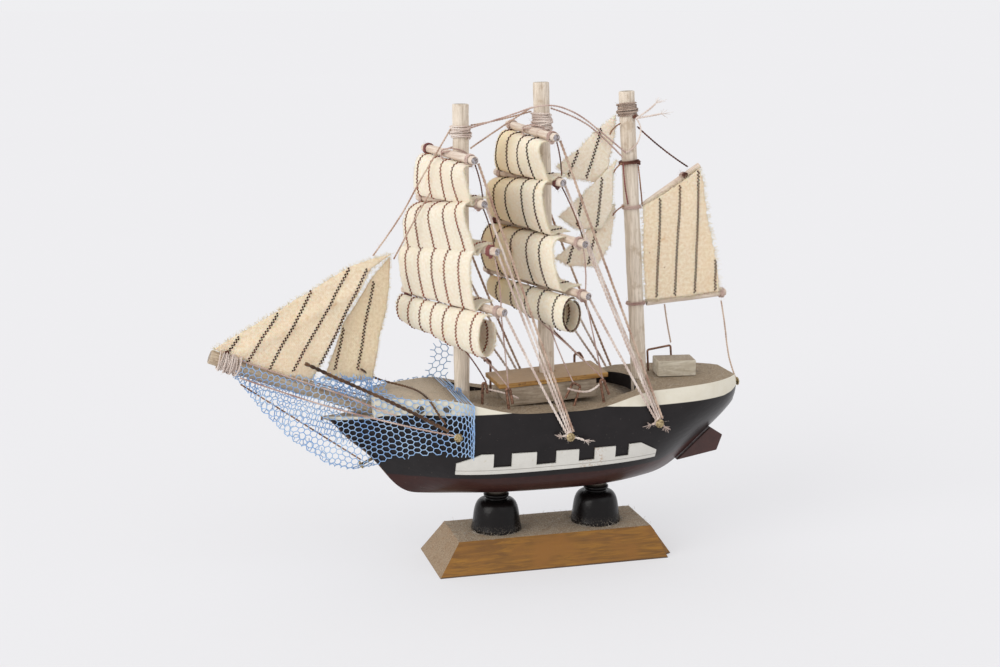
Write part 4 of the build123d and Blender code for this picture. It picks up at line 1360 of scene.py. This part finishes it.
def lashing_reach(name, side):
    """How far to port of the mast a yard's end lashing sits; the side is 1 for port."""
    _, _, _, _, starboard, port = YARDS[name]
    return port - LASHING_INSET if side > 0 else LASHING_INSET - starboard


def make_braces():
    """Each yard's two braces, from its end lashings to the side nails."""
    for owner, place in (("fore", "waist"), ("main", "quarter")):
        for index, (name, values) in enumerate(YARDS.items()):
            if values[0] != owner:
                continue
            for side, word in ((1, "port"), (-1, "starboard")):
                reach = lashing_reach(name, side)
                x, y, z = yard_point(name, reach, forward=-1.2)
                start = (x - 1.6, y + side * 0.6, z - 1.4)
                nail_x, nail_z = SIDE_NAILS[place]
                nail_y = side * (side_half_width(nail_x) + 1.7)
                end = (nail_x + 0.9 * (index % 4 - 1.5), nail_y, nail_z + 1.6)
                bow_out = 3.4 if name == "fore_yard_1" and side < 0 else 0.8
                middle = ((start[0] + end[0]) / 2 + bow_out,
                          (start[1] + end[1]) / 2 + side * 2.2, (start[2] + end[2]) / 2 - 0.3)
                tone = "pale_thread" if index % 4 in (1, 2, 3) else "pink_thread"
                make_cord(f"{name}_brace_{word}", [start, middle, end], BRACE_DIAMETER,
                          MATERIALS[tone], tone, f"{owner}_braces", swings=f"{owner}_yards",
                          fuzz=1.4)


ROUTES = {
    # name: (route, diameter, material, CAD node)
    "outer_forestay": ([(36.2, 0, 159.8), (41.2, 0, 151.6), (47.6, 0, 141.6), (54.9, 0, 128.3),
                        (64.6, 0, 115.9)], STAY_DIAMETER, "pink_thread", "forestays"),
    "inner_forestay": ([(44.0, 0.6, 137.4), (48.4, -0.2, 130.0), (52.6, -1.0, 121.9),
                        (56.8, -1.6, 114.2)], STAY_DIAMETER, "pink_thread", "forestays"),
    "fore_to_main_stay": ([(28.9, 0, 160.9), (18.3, 0, 162.3), (6.8, 0, 165.4)], STAY_DIAMETER,
                          "pink_thread", "mast_stays"),
    "lower_fore_to_main_stay": ([(29.4, 1.2, 152.9), (18.6, 1.3, 160.0), (6.8, 1.3, 167.0)],
                                STAY_DIAMETER, "pink_thread", "mast_stays"),
    "long_masthead_stay": ([(29.4, 2.0, 160.2), (17.8, 3.6, 163.6), (3.0, 4.0, 168.6),
                            (-8.4, 3.8, 165.4), (-19.4, 3.4, 157.0), (-27.8, 3.0, 150.2)], STAY_DIAMETER,
                           "rose_thread", "mast_stays"),
    "main_to_mizzen_stay": ([(-0.4, 0, 166.4), (-10.6, 0.6, 163.0), (-20.0, 1.8, 155.6),
                             (-27.0, 2.6, 148.4)], STAY_DIAMETER, "rose_thread", "mast_stays"),
    "bobstay_thread": ([(112.2, 0, 72.4), (92.0, 0, 57.6), (70.2, 0, 41.8)], STAY_DIAMETER, "brown_thread",
                "bobstay"),
    "first_jib_sheet": ([(89.8, 3.0, 79.2), (79.2, 5.6, 73.8), (68.4, 9.6, 69.0),
                         (59.0, 14.8, 64.8), (50.4, 18.8, 60.4), (42.6, 21.4, 56.0)], 1.3,
                        "dark_twine", "jib_sheets"),
    "second_jib_sheet": ([(69.6, 0.4, 75.4), (65.4, -3.4, 71.6), (60.0, -5.6, 68.9),
                          (54.4, -4.2, 67.6), (50.8, 3.4, 67.6), (49.6, 11.4, 67.7),
                          (48.2, 18.0, 66.4), (46.2, 20.4, 62.4), (43.6, 21.2, 58.6)], 0.8,
                         "dark_twine", "jib_sheets"),
}
SWINGING_ROUTES = {
    "topping_lift": ([(-53.0, 0, 144.2), (-42.6, 0, 150.6), (-33.2, 0, 159.2)], STAY_DIAMETER,
                     "dark_thread"),
    "boom_sheet": ([(-67.8, 0, 93.4), (-69.4, 0, 85.6), (-70.6, 0, 76.6), (-72.2, 0, 69.0),
                    (-74.6, 0, 63.4)], STAY_DIAMETER, "pink_thread"),
    "boom_guy": ([(-45.4, -0.6, 93.0), (-47.2, -3.2, 86.4), (-51.0, -7.8, 76.8)], STAY_DIAMETER,
                 "pink_thread"),
}
SLOT_OF = {"rose_thread": "pink_thread", "brown_thread": "pink_thread",
           "dark_thread": "dark_twine"}


def make_standing_lines():
    """Stays, jib sheets, the spanker's threads and the bowsprit's four shrouds."""
    for name, (route, diameter, material, node) in ROUTES.items():
        make_cord(name, route, diameter, MATERIALS[material], SLOT_OF.get(material, material),
                  node)
    for name, (route, diameter, material) in SWINGING_ROUTES.items():
        make_cord(name, route, diameter, MATERIALS[material], SLOT_OF.get(material, material),
                  "spanker_lines", swings="spanker")
    for side, word in ((1, "port"), (-1, "starboard")):
        low = [(112.6, side * 2.9, 75.4), (92.0, side * 3.9, 66.9), (73.6, side * 5.6, 60.6),
               (59.6, side * 12.0, 57.6), (49.0, side * 17.8, 55.6), (40.4, side * 21.0, 54.2)]
        high = [(111.8, side * 1.9, 81.2), (92.0, side * 2.6, 73.0), (77.0, side * 3.6, 67.4),
                (67.0, side * 8.6, 63.2), (59.4, side * 12.6, 60.6)]
        make_cord(f"lower_bowsprit_shroud_{word}", low, 0.6, MATERIALS["rose_thread"],
                  "pink_thread", "bowsprit_shrouds")
        make_cord(f"upper_bowsprit_shroud_{word}", high, 0.6, MATERIALS["rose_thread"],
                  "pink_thread", "bowsprit_shrouds")


def yard_end(name, side, drop=0.0, aft=1.6):
    """Just under the lashing at one end of a yard."""
    reach = lashing_reach(name, side)
    return tuple(yard_point(name, reach, forward=-aft, drop=drop))


def make_small_threads():
    """Short ties between yard ends, sails, masts and deck staples."""
    for owner in ("fore", "main"):
        names = [name for name in YARDS if YARDS[name][0] == owner]
        for upper, lower in zip(names, names[1:]):
            for side, word in ((1, "port"), (-1, "starboard")):
                top, low = yard_end(upper, side, 1.4), yard_end(lower, side, -1.6)
                middle = [(a + b) / 2 for a, b in zip(top, low)]
                middle[0] -= 0.8
                middle[1] += side * 0.6
                tone = "dark_thread" if upper.endswith(("1", "2")) else "rose_thread"
                make_cord(f"{upper}_to_{lower[-1]}_{word}", [top, tuple(middle), low], TIE_DIAMETER,
                          MATERIALS[tone], SLOT_OF[tone], body=f"{owner}_yards", fuzz=2.0,
                          declare=False)
    down = [
        ("fore", yard_point("fore_yard_4", 6.0, drop=16.4), (26.0, 9.9, 70.0)),
        ("fore", yard_point("fore_yard_4", 15.0, drop=16.2), (19.2, 15.9, 69.0)),
        ("fore", yard_end("fore_yard_4", 1, 1.4), (19.4, 15.9, 68.6)),
        ("fore", yard_end("fore_yard_4", -1, 1.4), (18.8, -12.4, 72.6)),
        ("main", yard_point("main_yard_4", 8.0, drop=13.8), (-5.4, 14.3, 68.8)),
        ("main", yard_end("main_yard_4", 1, 1.4), (-15.4, 17.0, 70.6)),
        ("main", yard_end("main_yard_4", -1, 1.4), (-15.0, -12.6, 73.4)),
        ("main", yard_point("main_yard_4", 2.0, drop=13.8), (-15.8, 17.0, 70.4)),
    ]
    for index, (owner, top, low) in enumerate(down):
        middle = [(a + b) / 2 + dice.uniform(-0.8, 0.8) for a, b in zip(top, low)]
        tone = "rose_thread" if index % 3 else "dark_thread"
        make_cord(f"{owner}_downhaul_{index}", [tuple(top), tuple(middle), low], TIE_DIAMETER,
                  MATERIALS[tone], SLOT_OF[tone], swings=f"{owner}_yards", fuzz=2.0,
                  declare=False)
    ties = [
        [(-26.2, 1.6, 160.6), (-23.4, 0.9, 159.2), (-22.6, 0.4, 156.6)],
        [(-27.0, 1.8, 146.2), (-25.0, 1.2, 145.2), (-24.0, 1.0, 142.8)],
        [(-28.0, 1.8, 130.8), (-25.6, 0.4, 129.6), (-24.6, -0.8, 127.0)],
        [(-27.2, 2.4, 146.2), (-27.4, 3.0, 138.6), (-29.2, 2.6, 131.4)],
        [(-33.2, 1.6, 145.4), (-34.2, 1.8, 138.0), (-35.0, 1.6, 131.2)],
    ]
    for index, route in enumerate(ties):
        tone = "brown_thread" if index != 3 else "maroon_thread"
        make_cord(f"staysail_tie_{index}", route, 0.55, MATERIALS[tone], "pink_thread",
                  fuzz=2.0, declare=False)


def winding(bundle, centre, axis, radius, length, turns, thread, slack=0.12, cross=0.0):
    """Turns of thread round a bar, a little uneven, with a few that cross the rest."""
    centre, axis = np.array(centre, float), unit(axis)
    first = unit(np.cross(axis, (0.31, 0.22, 0.93)))
    second = np.cross(axis, first)
    seed = dice.uniform(0, 50)
    steps = int(turns * 20)
    line = []
    for index in range(steps + 1):
        share = index / steps
        angle = share * turns * 2 * math.pi
        place = (share - 0.5) * length
        place += 0.35 * noise.noise(Vector((angle * 0.4, seed, 0)))
        place += cross * math.sin(angle * 0.5 + seed) * length * 0.4
        out = radius + thread / 2 + slack * (0.5 + noise.noise(Vector((angle * 0.7, 1, seed))))
        line.append(centre + axis * place
                    + out * (math.cos(angle) * first + math.sin(angle) * second))
    bundle.twisted(np.array(line), thread)
    bundle.hairs(np.array(line), int(turns * WINDING_HAIRS_PER_TURN), WINDING_HAIR_LENGTH)


def make_mast_windings():
    """Thread wound round the mast heads and the bowsprit's tip, with two knots."""
    heads = Bundle()
    dark = Bundle()
    grey = Bundle()
    for name, z, height, turns, bundle in (("fore", 158.6, 4.4, 6, heads),
                                           ("main", 161.6, 5.6, 9, heads),
                                           ("mizzen", 165.2, 4.4, 7, grey),
                                           ("mizzen", 146.4, 1.2, 2, dark)):
        low, axis = mast_place(name, z)
        winding(bundle, low, axis, MAST_RADIUS, height, turns, 0.62)
        winding(bundle, low, axis, MAST_RADIUS + 0.5, height * 0.8, 3, 0.6, cross=0.8)
    tip, butt = np.array(BOWSPRIT[1]), np.array(BOWSPRIT[0])
    along = unit(tip - butt)
    for layer, turns, cross in ((0.0, 12, 0.0), (0.45, 8, 0.5), (0.8, 5, 1.0)):
        winding(heads, tip - along * 7.4, along, 2.5 + layer, 7.0 - layer * 2, turns, 0.5,
                0.25, cross)
    made = heads.build("mast_head_windings", "ship", MATERIALS["pale_thread"],
                       finish="pink_thread")
    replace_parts(made, "mast_windings")
    knot = tip - along * 6.4 + np.array((0, 0.6, 3.3))
    for _ in range(5):
        winding(dark, knot, random_way(), 0.35, 0.6, 2, 0.5, 0.1)
    for _ in range(4):
        winding(dark, (-31.0, 2.6, 163.2), random_way(), 0.3, 0.5, 2, 0.5, 0.1)
    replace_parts(grey.build("mizzen_head_winding", "ship", MATERIALS["grey_thread"],
                           finish="pink_thread"), "mast_windings")
    made = dark.build("dark_windings", "ship", MATERIALS["dark_thread"], finish="pink_thread")
    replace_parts(made, "mast_windings")


def make_yard_windings():
    """The lashings at the yards' ends, and the loops that hold the yards to a mast."""
    for owner in ("fore", "main"):
        rings = Bundle()
        deep = Bundle()
        for index, (name, (mast_name, _, _, _, starboard, port)) in enumerate(YARDS.items()):
            if mast_name != owner:
                continue
            axis = unit(yard_point(name, 1) - yard_point(name, 0))
            for reach in (LASHING_INSET - starboard, port - LASHING_INSET):
                target = deep if (index + (reach > 0)) % 3 == 0 else rings
                winding(target, yard_point(name, reach), axis, YARD_RADIUS, 1.7, 4, 0.5)
                for _ in range(2):
                    lean = random_way()
                    spot = yard_point(name, reach) + np.array((0, 0, -1.9)) + lean * 0.2
                    winding(target, spot, lean, 0.25, 0.4, 1.5, 0.45, 0.1)
            crossing = yard_point(name, 0, forward=-2.2)
            seized_loop(rings, crossing, axis)
        made = rings.build(f"{owner}_yard_windings", f"{owner}_yards",
                           MATERIALS["rose_thread"], finish="pink_thread")
        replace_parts(made, f"{owner}_yard_lashings")
        deep.build(f"{owner}_yard_dark_windings", f"{owner}_yards",
                   MATERIALS["maroon_thread"], finish="pink_thread")


def make_spar_loops():
    """Thread round the mizzen mast at the gaff and the boom, and round both spars."""
    loops = Bundle()
    for z in (130.2, 94.4):
        low, axis = mast_place("mizzen", z)
        winding(loops, low, axis, MAST_RADIUS + 0.15, 0.9, 3, 0.55)
    for spot, axis, radius in ((np.array(GAFF[0]) + (-15.6, 0, 10.3), (-0.83, 0, 0.55), 1.3),
                               (np.array(BOOM[1]) + (1.6, 0, -0.1), (1, 0, 0), 1.4)):
        winding(loops, spot, axis, radius, 1.6, 4, 0.5)
    tie = np.array(GAFF[0]) + (-15.6, 1.5, 11.0)
    knot = Bundle()
    for _ in range(5):
        lean = random_way()
        winding(knot, tie + lean * 0.3, lean, 0.4, 0.7, 2, 0.55, 0.1)
    knot.build("gaff_tie_knot", "spanker", MATERIALS["dark_thread"], finish="dark_twine")
    made = loops.build("spar_thread_loops", "spanker", MATERIALS["rose_thread"],
                       finish="pink_thread")
    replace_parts(made, "spar_loops")


def seized_loop(bundle, centre, yard_axis):
    """Crossed turns that hold a yard to its mast."""
    up = np.array((0.0, 0.0, 1.0))
    ahead = unit(np.cross(yard_axis, up))
    for lean in (0.7, -0.7, 0.35):
        steps = 48
        line = []
        for index in range(steps + 1):
            angle = index * 2 * math.pi / steps
            out = ahead * (4.9 * math.cos(angle))
            sideways = yard_axis * 3.5 * math.sin(angle)
            rise = up * (lean * 2.6 * math.sin(angle) + 1.9 * math.cos(angle) * lean)
            line.append(centre + out + sideways + rise)
        bundle.twisted(np.array(line), 0.5)


def bent_line(start, bend, end, count):
    """A thread's line from start to end, pulled towards the bend."""
    steps = np.linspace(0, 1, count)[:, None]
    return (1 - steps) ** 2 * start + 2 * steps * (1 - steps) * bend + steps ** 2 * end


def make_nail_knots():
    """Knotted and frayed brace ends at the side nails."""
    for place, (x, z) in SIDE_NAILS.items():
        if place == "bow":
            continue
        for side, word in ((1, "port"), (-1, "starboard")):
            knots = Bundle()
            y = side * (side_half_width(x) + 1.5)
            winding(knots, (x, y, z), (0, side, 0), 0.7, 1.6, 4, 0.75)
            for _ in range(4):
                winding(knots, (x + 0.3, y, z + 1.3), random_way(), 0.35, 0.7, 1.5, 0.7, 0.1)
            tails = [((2.6, 0.5, -0.4), 3.4), ((-2.0, 0.4, -1.4), 3.0)]
            if place == "waist":
                tails = [((2.8, 0.6, 0.4), 3.2), ((-5.2, 0.8, -1.6), 3.8)]
            for (dx, dy, dz), length in tails:
                end = np.array((x + dx, y + side * dy, z + dz))
                bend = np.array((x + dx * 0.5, y + side * (dy + 0.4), z + dz * 0.5 + 0.5))
                start = np.array((x, y + side * 0.3, z))
                knots.twisted(bent_line(start, bend, end, 12), 0.8)
                knots.frayed(end, (dx, side * dy, dz), length * 0.7, 0.8, 14, 0.08)
            knots.build(f"{place}_nail_knot_{word}", "ship", MATERIALS["pale_thread"],
                        finish="pale_thread")


def make_thread_tails():
    """Loose tails of thread at the mizzen mast's head."""
    tails = Bundle()
    for end, bend in (((-38.8, 3.0, 167.4), (-35.0, 3.4, 164.2)),
                      ((-40.8, 3.0, 163.8), (-37.0, 3.4, 163.2))):
        start = np.array((-31.4, 3.2, 162.4))
        tails.twisted(bent_line(start, np.array(bend), np.array(end), 16), 0.7)
        tails.frayed(end, np.array(end) - np.array(bend), 3.0, 0.9, 14, 0.06)
    loop = np.array([(-27.8, 3.0, 150.2), (-30.6, 3.4, 151.4), (-33.0, 3.4, 155.0),
                     (-33.6, 3.2, 160.0), (-31.4, 3.2, 162.6)])
    tails.twisted(nurbs_line(loop), 0.6)
    tails.build("mizzen_thread_tails", "ship", MATERIALS["pale_thread"], finish="pink_thread")


def make_swags():
    """Two slack threads between the deck staples."""
    swag = [(-3.0, 14.4, 67.0), (-8.0, 15.2, 65.2), (-13.0, 16.4, 66.4), (-15.8, 17.0, 70.0)]
    make_cord("staple_swag", swag, 0.8, MATERIALS["pale_thread"], "pale_thread", declare=False,
              fuzz=2.5)
    rope = [(19.6, 15.4, 66.8), (14.0, 16.4, 64.0), (18.0, 10.0, 65.6), (26.4, 9.6, 67.6)]
    make_cord("fore_staple_swag", rope, 0.7, MATERIALS["pale_thread"], "pale_thread",
              declare=False, fuzz=2.5)


# Netting ------------------------------------------------------------------------------

NET_PITCH = 2.3
NET_STRAND = 0.34


def in_outline(x, z, corners):
    """Whether a point lies inside a closed outline."""
    inside = False
    for (x0, z0), (x1, z1) in zip(corners, corners[1:] + corners[:1]):
        if (z0 > z) != (z1 > z) and x < (x1 - x0) * (z - z0) / (z1 - z0) + x0:
            inside = not inside
    return inside


def honeycomb(corners, pitch, turn, shift=(0.0, 0.0)):
    """Strands of a six-sided mesh inside an outline, as pairs of points."""
    edge = pitch / math.sqrt(3)
    first = np.array((pitch, 0.0))
    second = np.array((pitch / 2, pitch * math.sqrt(3) / 2))
    half = np.array((0.0, edge / 2))
    cos, sin = math.cos(turn), math.sin(turn)
    rotate = np.array(((cos, -sin), (sin, cos)))
    centre = np.mean(corners, axis=0) + shift
    strands = []
    reach = 75
    for i in range(-reach, reach):
        for j in range(-reach, reach):
            base = i * first + j * second
            if abs(base[0]) > 90 or abs(base[1]) > 90:
                continue
            start = centre + rotate @ (base + half)
            for other in (base - half, base + second - half, base + second - first - half):
                end = centre + rotate @ other
                middle = (start + end) / 2
                if in_outline(*middle, corners) and (in_outline(*start, corners)
                                                     or in_outline(*end, corners)):
                    strands.append((start, end))
    return strands


def jitter(x, z, size, seed):
    return np.array((size * noise.noise(Vector((x * 0.16, z * 0.16, seed))),
                     size * noise.noise(Vector((x * 0.16, z * 0.16, seed + 20)))))


def bowsprit_z(x):
    return 57.0 + (x - 58.0) * 25.9 / 64.6


def net_place(x, z, side, seed):
    """Where the net lies over one bow, or hangs as a curtain under the bowsprit."""
    shift = jitter(x, z, 0.9, seed)
    x, z = x + shift[0], z + shift[1]
    if x < GATHER_FROM:
        share = min(1.0, (GATHER_FROM - x) / GATHER_CLOTH)
        x = GATHER_FROM - GATHER_WIDTH * (1 - (1 - share) ** 1.9)
        z += 0.5 * noise.noise(Vector((share * 9.0, z * 0.3, seed)))
    fold = 9.0
    if x > 62:
        fold = (z - float(np.interp(x, FOLD_X, FOLD_Z))) * FOLD_SLOPE[1]
        if fold < 0:
            x -= 2 * fold * FOLD_SLOPE[0]
            z -= 2 * fold * FOLD_SLOPE[1]
            side = -side
    over = 0.0
    top = 66.7
    if x < 66 and z > top:
        over, z = z - top, top
    found = side_hit(HULL_TREE, x, min(z, 65.9) if x < 66 else z, side)
    if found is not None:
        place, _ = found
        y = side * place[1] + 0.5
        near = 1.0
    else:
        y, near = 2.4 + 0.35 * noise.noise(Vector((x * 0.1, z * 0.1, seed))), 0.0
    if not near:
        y = min(y, 0.25 + abs(fold) * 1.1)
    nail_gap = math.hypot(x - 39.2, z - 53.6)
    y += 1.5 * math.exp(-(nail_gap / 3.0) ** 2)
    if x < 38:
        y += 0.8 * abs(noise.noise(Vector((x * 1.2, z * 0.5, seed))))
    spar = abs(z - bowsprit_z(x)) if x > 60 else 9.0
    if spar < 3.4:
        y = max(y, math.sqrt(max(0.0, 3.4 ** 2 - spar ** 2)) + 0.1)
    if z > bowsprit_z(x) and x > 66:
        y = max(0.4, y - (z - bowsprit_z(x)) * 0.35) + 0.9 * abs(noise.noise(
            Vector((x * 0.35, z * 0.35, seed))))
    y -= over * 1.0
    return np.array((x, side * (y + 0.12 * near), z + 0.15 * over))


# Where the net is folded in two under the bowsprit, and where it is gathered at a nail.
FOLD_X = (62.0, 67.5, 74.8, 82.0, 95.9, 106.1, 113.4)
FOLD_Z = (39.6, 39.0, 38.4, 40.8, 51.7, 63.4, 74.1)
FOLD_SLOPE = (-0.60, 0.80)
GATHER_FROM, GATHER_CLOTH, GATHER_WIDTH = 42.0, 17.0, 8.6
PORT_NET = [(25.0, 67.2), (45.0, 67.6), (55.0, 67.4), (60.0, 70.6), (66.0, 73.0), (76.0, 74.0),
            (87.0, 74.0), (100.0, 75.6), (112.0, 81.6), (114.5, 77.0), (115.4, 72.5),
            (108.1, 61.7), (97.9, 49.8), (84.2, 38.9), (74.8, 36.0), (67.5, 37.2),
            (62.6, 40.6), (59.5, 43.6), (55.0, 43.6), (50.0, 45.6), (44.6, 46.6),
            (39.4, 46.4), (33.6, 45.6), (25.0, 45.0)]
STARBOARD_NET = [(25.0, 67.2), (55.0, 67.4), (62.0, 69.6), (70.0, 72.4), (88.0, 73.6),
                 (100.0, 73.0), (112.0, 78.0), (113.6, 76.6), (106.3, 68.6), (96.1, 60.8),
                 (82.2, 51.4), (75.0, 47.4), (66.0, 45.0), (54.0, 45.6), (44.0, 46.6),
                 (25.0, 47.0)]
FLAP_NET = [(43.0, 66.6), (42.4, 71.6), (41.2, 76.5), (38.6, 80.2), (34.7, 80.7), (33.4, 76.1),
            (33.8, 71.2), (33.4, 66.2)]
NET_TURN = math.radians(18.4)


def knot_to_knot(start, end, count):
    """Points on a strand of flat net, a little past its two knots."""
    return start + (end - start) * np.linspace(-0.04, 1.04, count)[:, None]


def make_net():
    """Both bow panels, a loose flap by the foremast and a bunch on the bowsprit."""
    net = Bundle()
    total = 0.0

    def strand(points):
        nonlocal total
        total += float(np.linalg.norm(np.diff(points, axis=0), axis=1).sum())
        net.tube(points, NET_STRAND / 2, 5)

    for corners, side, seed, shift in ((PORT_NET, 1, 3.0, (0.0, 0.0)),
                                       (STARBOARD_NET, -1, 9.0, (1.3, 0.9))):
        for start, end in honeycomb(corners, NET_PITCH, NET_TURN, shift):
            flat = knot_to_knot(start, end, 5)
            strand(np.array([net_place(x, z, side, seed) for x, z in flat]))
    for start, end in honeycomb(FLAP_NET, NET_PITCH * 1.15, NET_TURN + 0.35):
        points = []
        for x, z in knot_to_knot(start, end, 4):
            wave = 0.8 * noise.noise(Vector((x * 0.2, z * 0.2, 1)))
            points.append((x + 0.8 * math.sin(z * 0.4), -16.6 + 0.14 * (z - 66) + wave, z))
        strand(np.array(points))
    bunch = [(60.0, 66.0), (61.0, 71.0), (68.0, 73.0), (78.0, 74.0), (87.0, 73.4), (86.0, 70.0),
             (74.0, 66.0), (66.0, 64.6)]
    for start, end in honeycomb(bunch, NET_PITCH * 0.86, NET_TURN + 0.6):
        points = []
        for x, z in knot_to_knot(start, end, 5):
            push = 1.8 * noise.noise(Vector((x * 0.22, z * 0.22, 31.0)))
            points.append((x + push, 2.4 + push, z + push * 0.5))
        strand(np.array(points))
    made = net.build("bow_netting", "ship", MATERIALS["blue_net"], finish="blue_net")
    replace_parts(made, "bow_net")


# Dust and lint ------------------------------------------------------------------------

def make_lint():
    """Fine fibres of dust caught on the stand, the decks and round the pedestals."""
    lint = Bundle()
    places = []
    for _ in range(420):
        places.append((dice.uniform(-38, 38), dice.uniform(-12.5, 12.5), 11.75))
    for x in (19.7, -19.1):
        for _ in range(170):
            angle = dice.uniform(0, 2 * math.pi)
            out = 9.6 + abs(dice.gauss(0, 0.8))
            places.append((x + out * math.cos(angle), out * math.sin(angle), 11.9))
    for _ in range(420):
        x = dice.uniform(-70, 64)
        found = HULL_TREE.ray_cast(Vector((x, dice.uniform(-20, 20), 90)), Vector((0, 0, -1)))
        if found[0] is not None and found[0].z > 58:
            places.append(tuple(found[0] + Vector((0, 0, 0.1))))
    for place in places:
        start = np.array(place)
        way = unit([dice.gauss(0, 1), dice.gauss(0, 1), abs(dice.gauss(0, 0.35))])
        bend = unit([dice.gauss(0, 1), dice.gauss(0, 1), dice.gauss(0, 0.3)])
        reach = dice.uniform(0.6, 2.0)
        lint.tube(fibre(start, way * reach, bend * reach * 0.5), 0.045, 3)
    lint.build("dust_lint", "ship", MATERIALS["lint"], finish="pale_wood")


# Everything ---------------------------------------------------------------------------

MATERIALS = {
    "stained_pine": stand_material(),
    "hull_paint": hull_material(),
    "cream_paint": cream_paint(),
    "black_lacquer": black_lacquer(),
    "maroon_paint": maroon_paint(),
    "pale_wood": pale_wood("pale_wood", srgb(222, 214, 196), srgb(190, 178, 156),
                           srgb(150, 132, 108)),
    # Darker copy of the pale wood for the deckhouse walls: partly their own dirtier tone, partly painted
    # shade under the roof's overhang.
    "dirty_and_shaded_wood": pale_wood("dirty_and_shaded_wood", srgb(178, 162, 142), srgb(146, 130, 110),
                            srgb(110, 94, 76)),
    "roof_wood": roof_material(),
    "whitewashed_wood": stick_material("whitewash", srgb(236, 223, 206), srgb(196, 180, 160),
                                       srgb(176, 152, 124), srgb(208, 196, 172)),
    "bare_wood": stick_material("bare_stick", srgb(234, 220, 204), srgb(206, 184, 166),
                                srgb(180, 142, 124), srgb(182, 178, 184)),
    "bowsprit_wood": stick_material("bowsprit_wood", srgb(206, 188, 162), srgb(166, 144, 118),
                                    srgb(140, 114, 90), srgb(190, 176, 158)),
    "brass_nail": metal("brass_nail", srgb(196, 176, 134), srgb(106, 88, 64), 0.36),
    "copper_wire": metal("copper_wire", srgb(158, 120, 100), srgb(92, 68, 56), 0.5),
    "sailcloth": sailcloth("sailcloth", srgb(252, 243, 227), srgb(240, 223, 196),
                           srgb(232, 192, 138)),
    # The main sails' cloth, with painted warm shade over its starboard part.
    "main_cloth": sailcloth("main_sailcloth", srgb(255, 247, 230), srgb(246, 228, 198),
                            srgb(232, 192, 138), shade_tint_span=(6.0, -16.0)),
    "jib_cloth": sailcloth("jib_sailcloth", srgb(252, 238, 214), srgb(234, 208, 170),
                           srgb(222, 176, 122)),
    "stay_cloth": sailcloth("stay_sailcloth", srgb(255, 246, 230), srgb(240, 222, 194),
                            srgb(226, 186, 132)),
    # A darker copy of the jib cloth: partly tan cloth, partly painted shade for the inner jib behind the
    # outer jib.
    "tan_shaded_cloth": sailcloth("tan_shaded_sailcloth", srgb(242, 226, 196), srgb(222, 200, 162),
                           srgb(220, 176, 120)),
    "cloth_fibre": yarn("cloth_fibre", srgb(244, 234, 208), srgb(226, 210, 176)),
    "stitch": yarn("stitch_thread", srgb(84, 48, 38), srgb(40, 22, 18), sheen=0.0),
    "brown_stitch": yarn("brown_stitch_thread", srgb(156, 92, 70), srgb(108, 60, 46),
                         sheen=0.0),
    "pale_thread": yarn("pale_thread", srgb(236, 224, 214), srgb(200, 178, 166)),
    "pink_thread": yarn("pink_thread", srgb(216, 194, 174), srgb(162, 126, 108)),
    "rose_thread": yarn("rose_thread", srgb(214, 192, 180), srgb(166, 132, 122)),
    "maroon_thread": yarn("maroon_thread", srgb(152, 92, 88), srgb(98, 54, 52)),
    "brown_thread": yarn("brown_thread", srgb(176, 136, 108), srgb(118, 80, 60)),
    "dark_thread": yarn("dark_thread", srgb(124, 84, 72), srgb(74, 46, 40), sheen=0.05),
    "grey_thread": yarn("grey_thread", srgb(196, 176, 160), srgb(122, 98, 86)),
    "dark_twine": yarn("dark_twine", srgb(112, 82, 58), srgb(60, 42, 32)),
    "blue_net": yarn("blue_net", srgb(178, 206, 236), srgb(134, 172, 220), 0.5),
    "lint": yarn("lint", srgb(200, 190, 176), srgb(160, 148, 132)),
}

make_camera()
make_studio()
HULL_TREE = tree_of("hull")
paint("hull", MATERIALS["hull_paint"])
for node in ("gunport_strip_port", "gunport_strip_starboard"):
    paint(node, MATERIALS["cream_paint"])
for node in ("pedestal_fore", "pedestal_aft"):
    paint(node, MATERIALS["black_lacquer"])
for node in ("post_fore", "post_aft"):
    paint(node, MATERIALS["maroon_paint"])
softened("base_block", 0.5, MATERIALS["stained_pine"], "stained_pine")
softened("rudder", 0.25, MATERIALS["maroon_paint"], "maroon_paint_wood")
# The deckhouse walls take the darker wood, which partly paints the shade under the roof.
softened("deckhouse_block", 0.3, MATERIALS["dirty_and_shaded_wood"], "pale_wood")
softened("deckhouse_roof", 0.35, MATERIALS["roof_wood"], "stained_pine")
softened("deck_box", 0.35, MATERIALS["pale_wood"], "pale_wood")
make_hardware()
make_sticks()
make_square_sails()
make_rolled_sails()
make_flat_sails()
make_braces()
make_standing_lines()
make_small_threads()
make_mast_windings()
make_yard_windings()
make_spar_loops()
make_nail_knots()
make_thread_tails()
make_swags()
make_net()
make_lint()
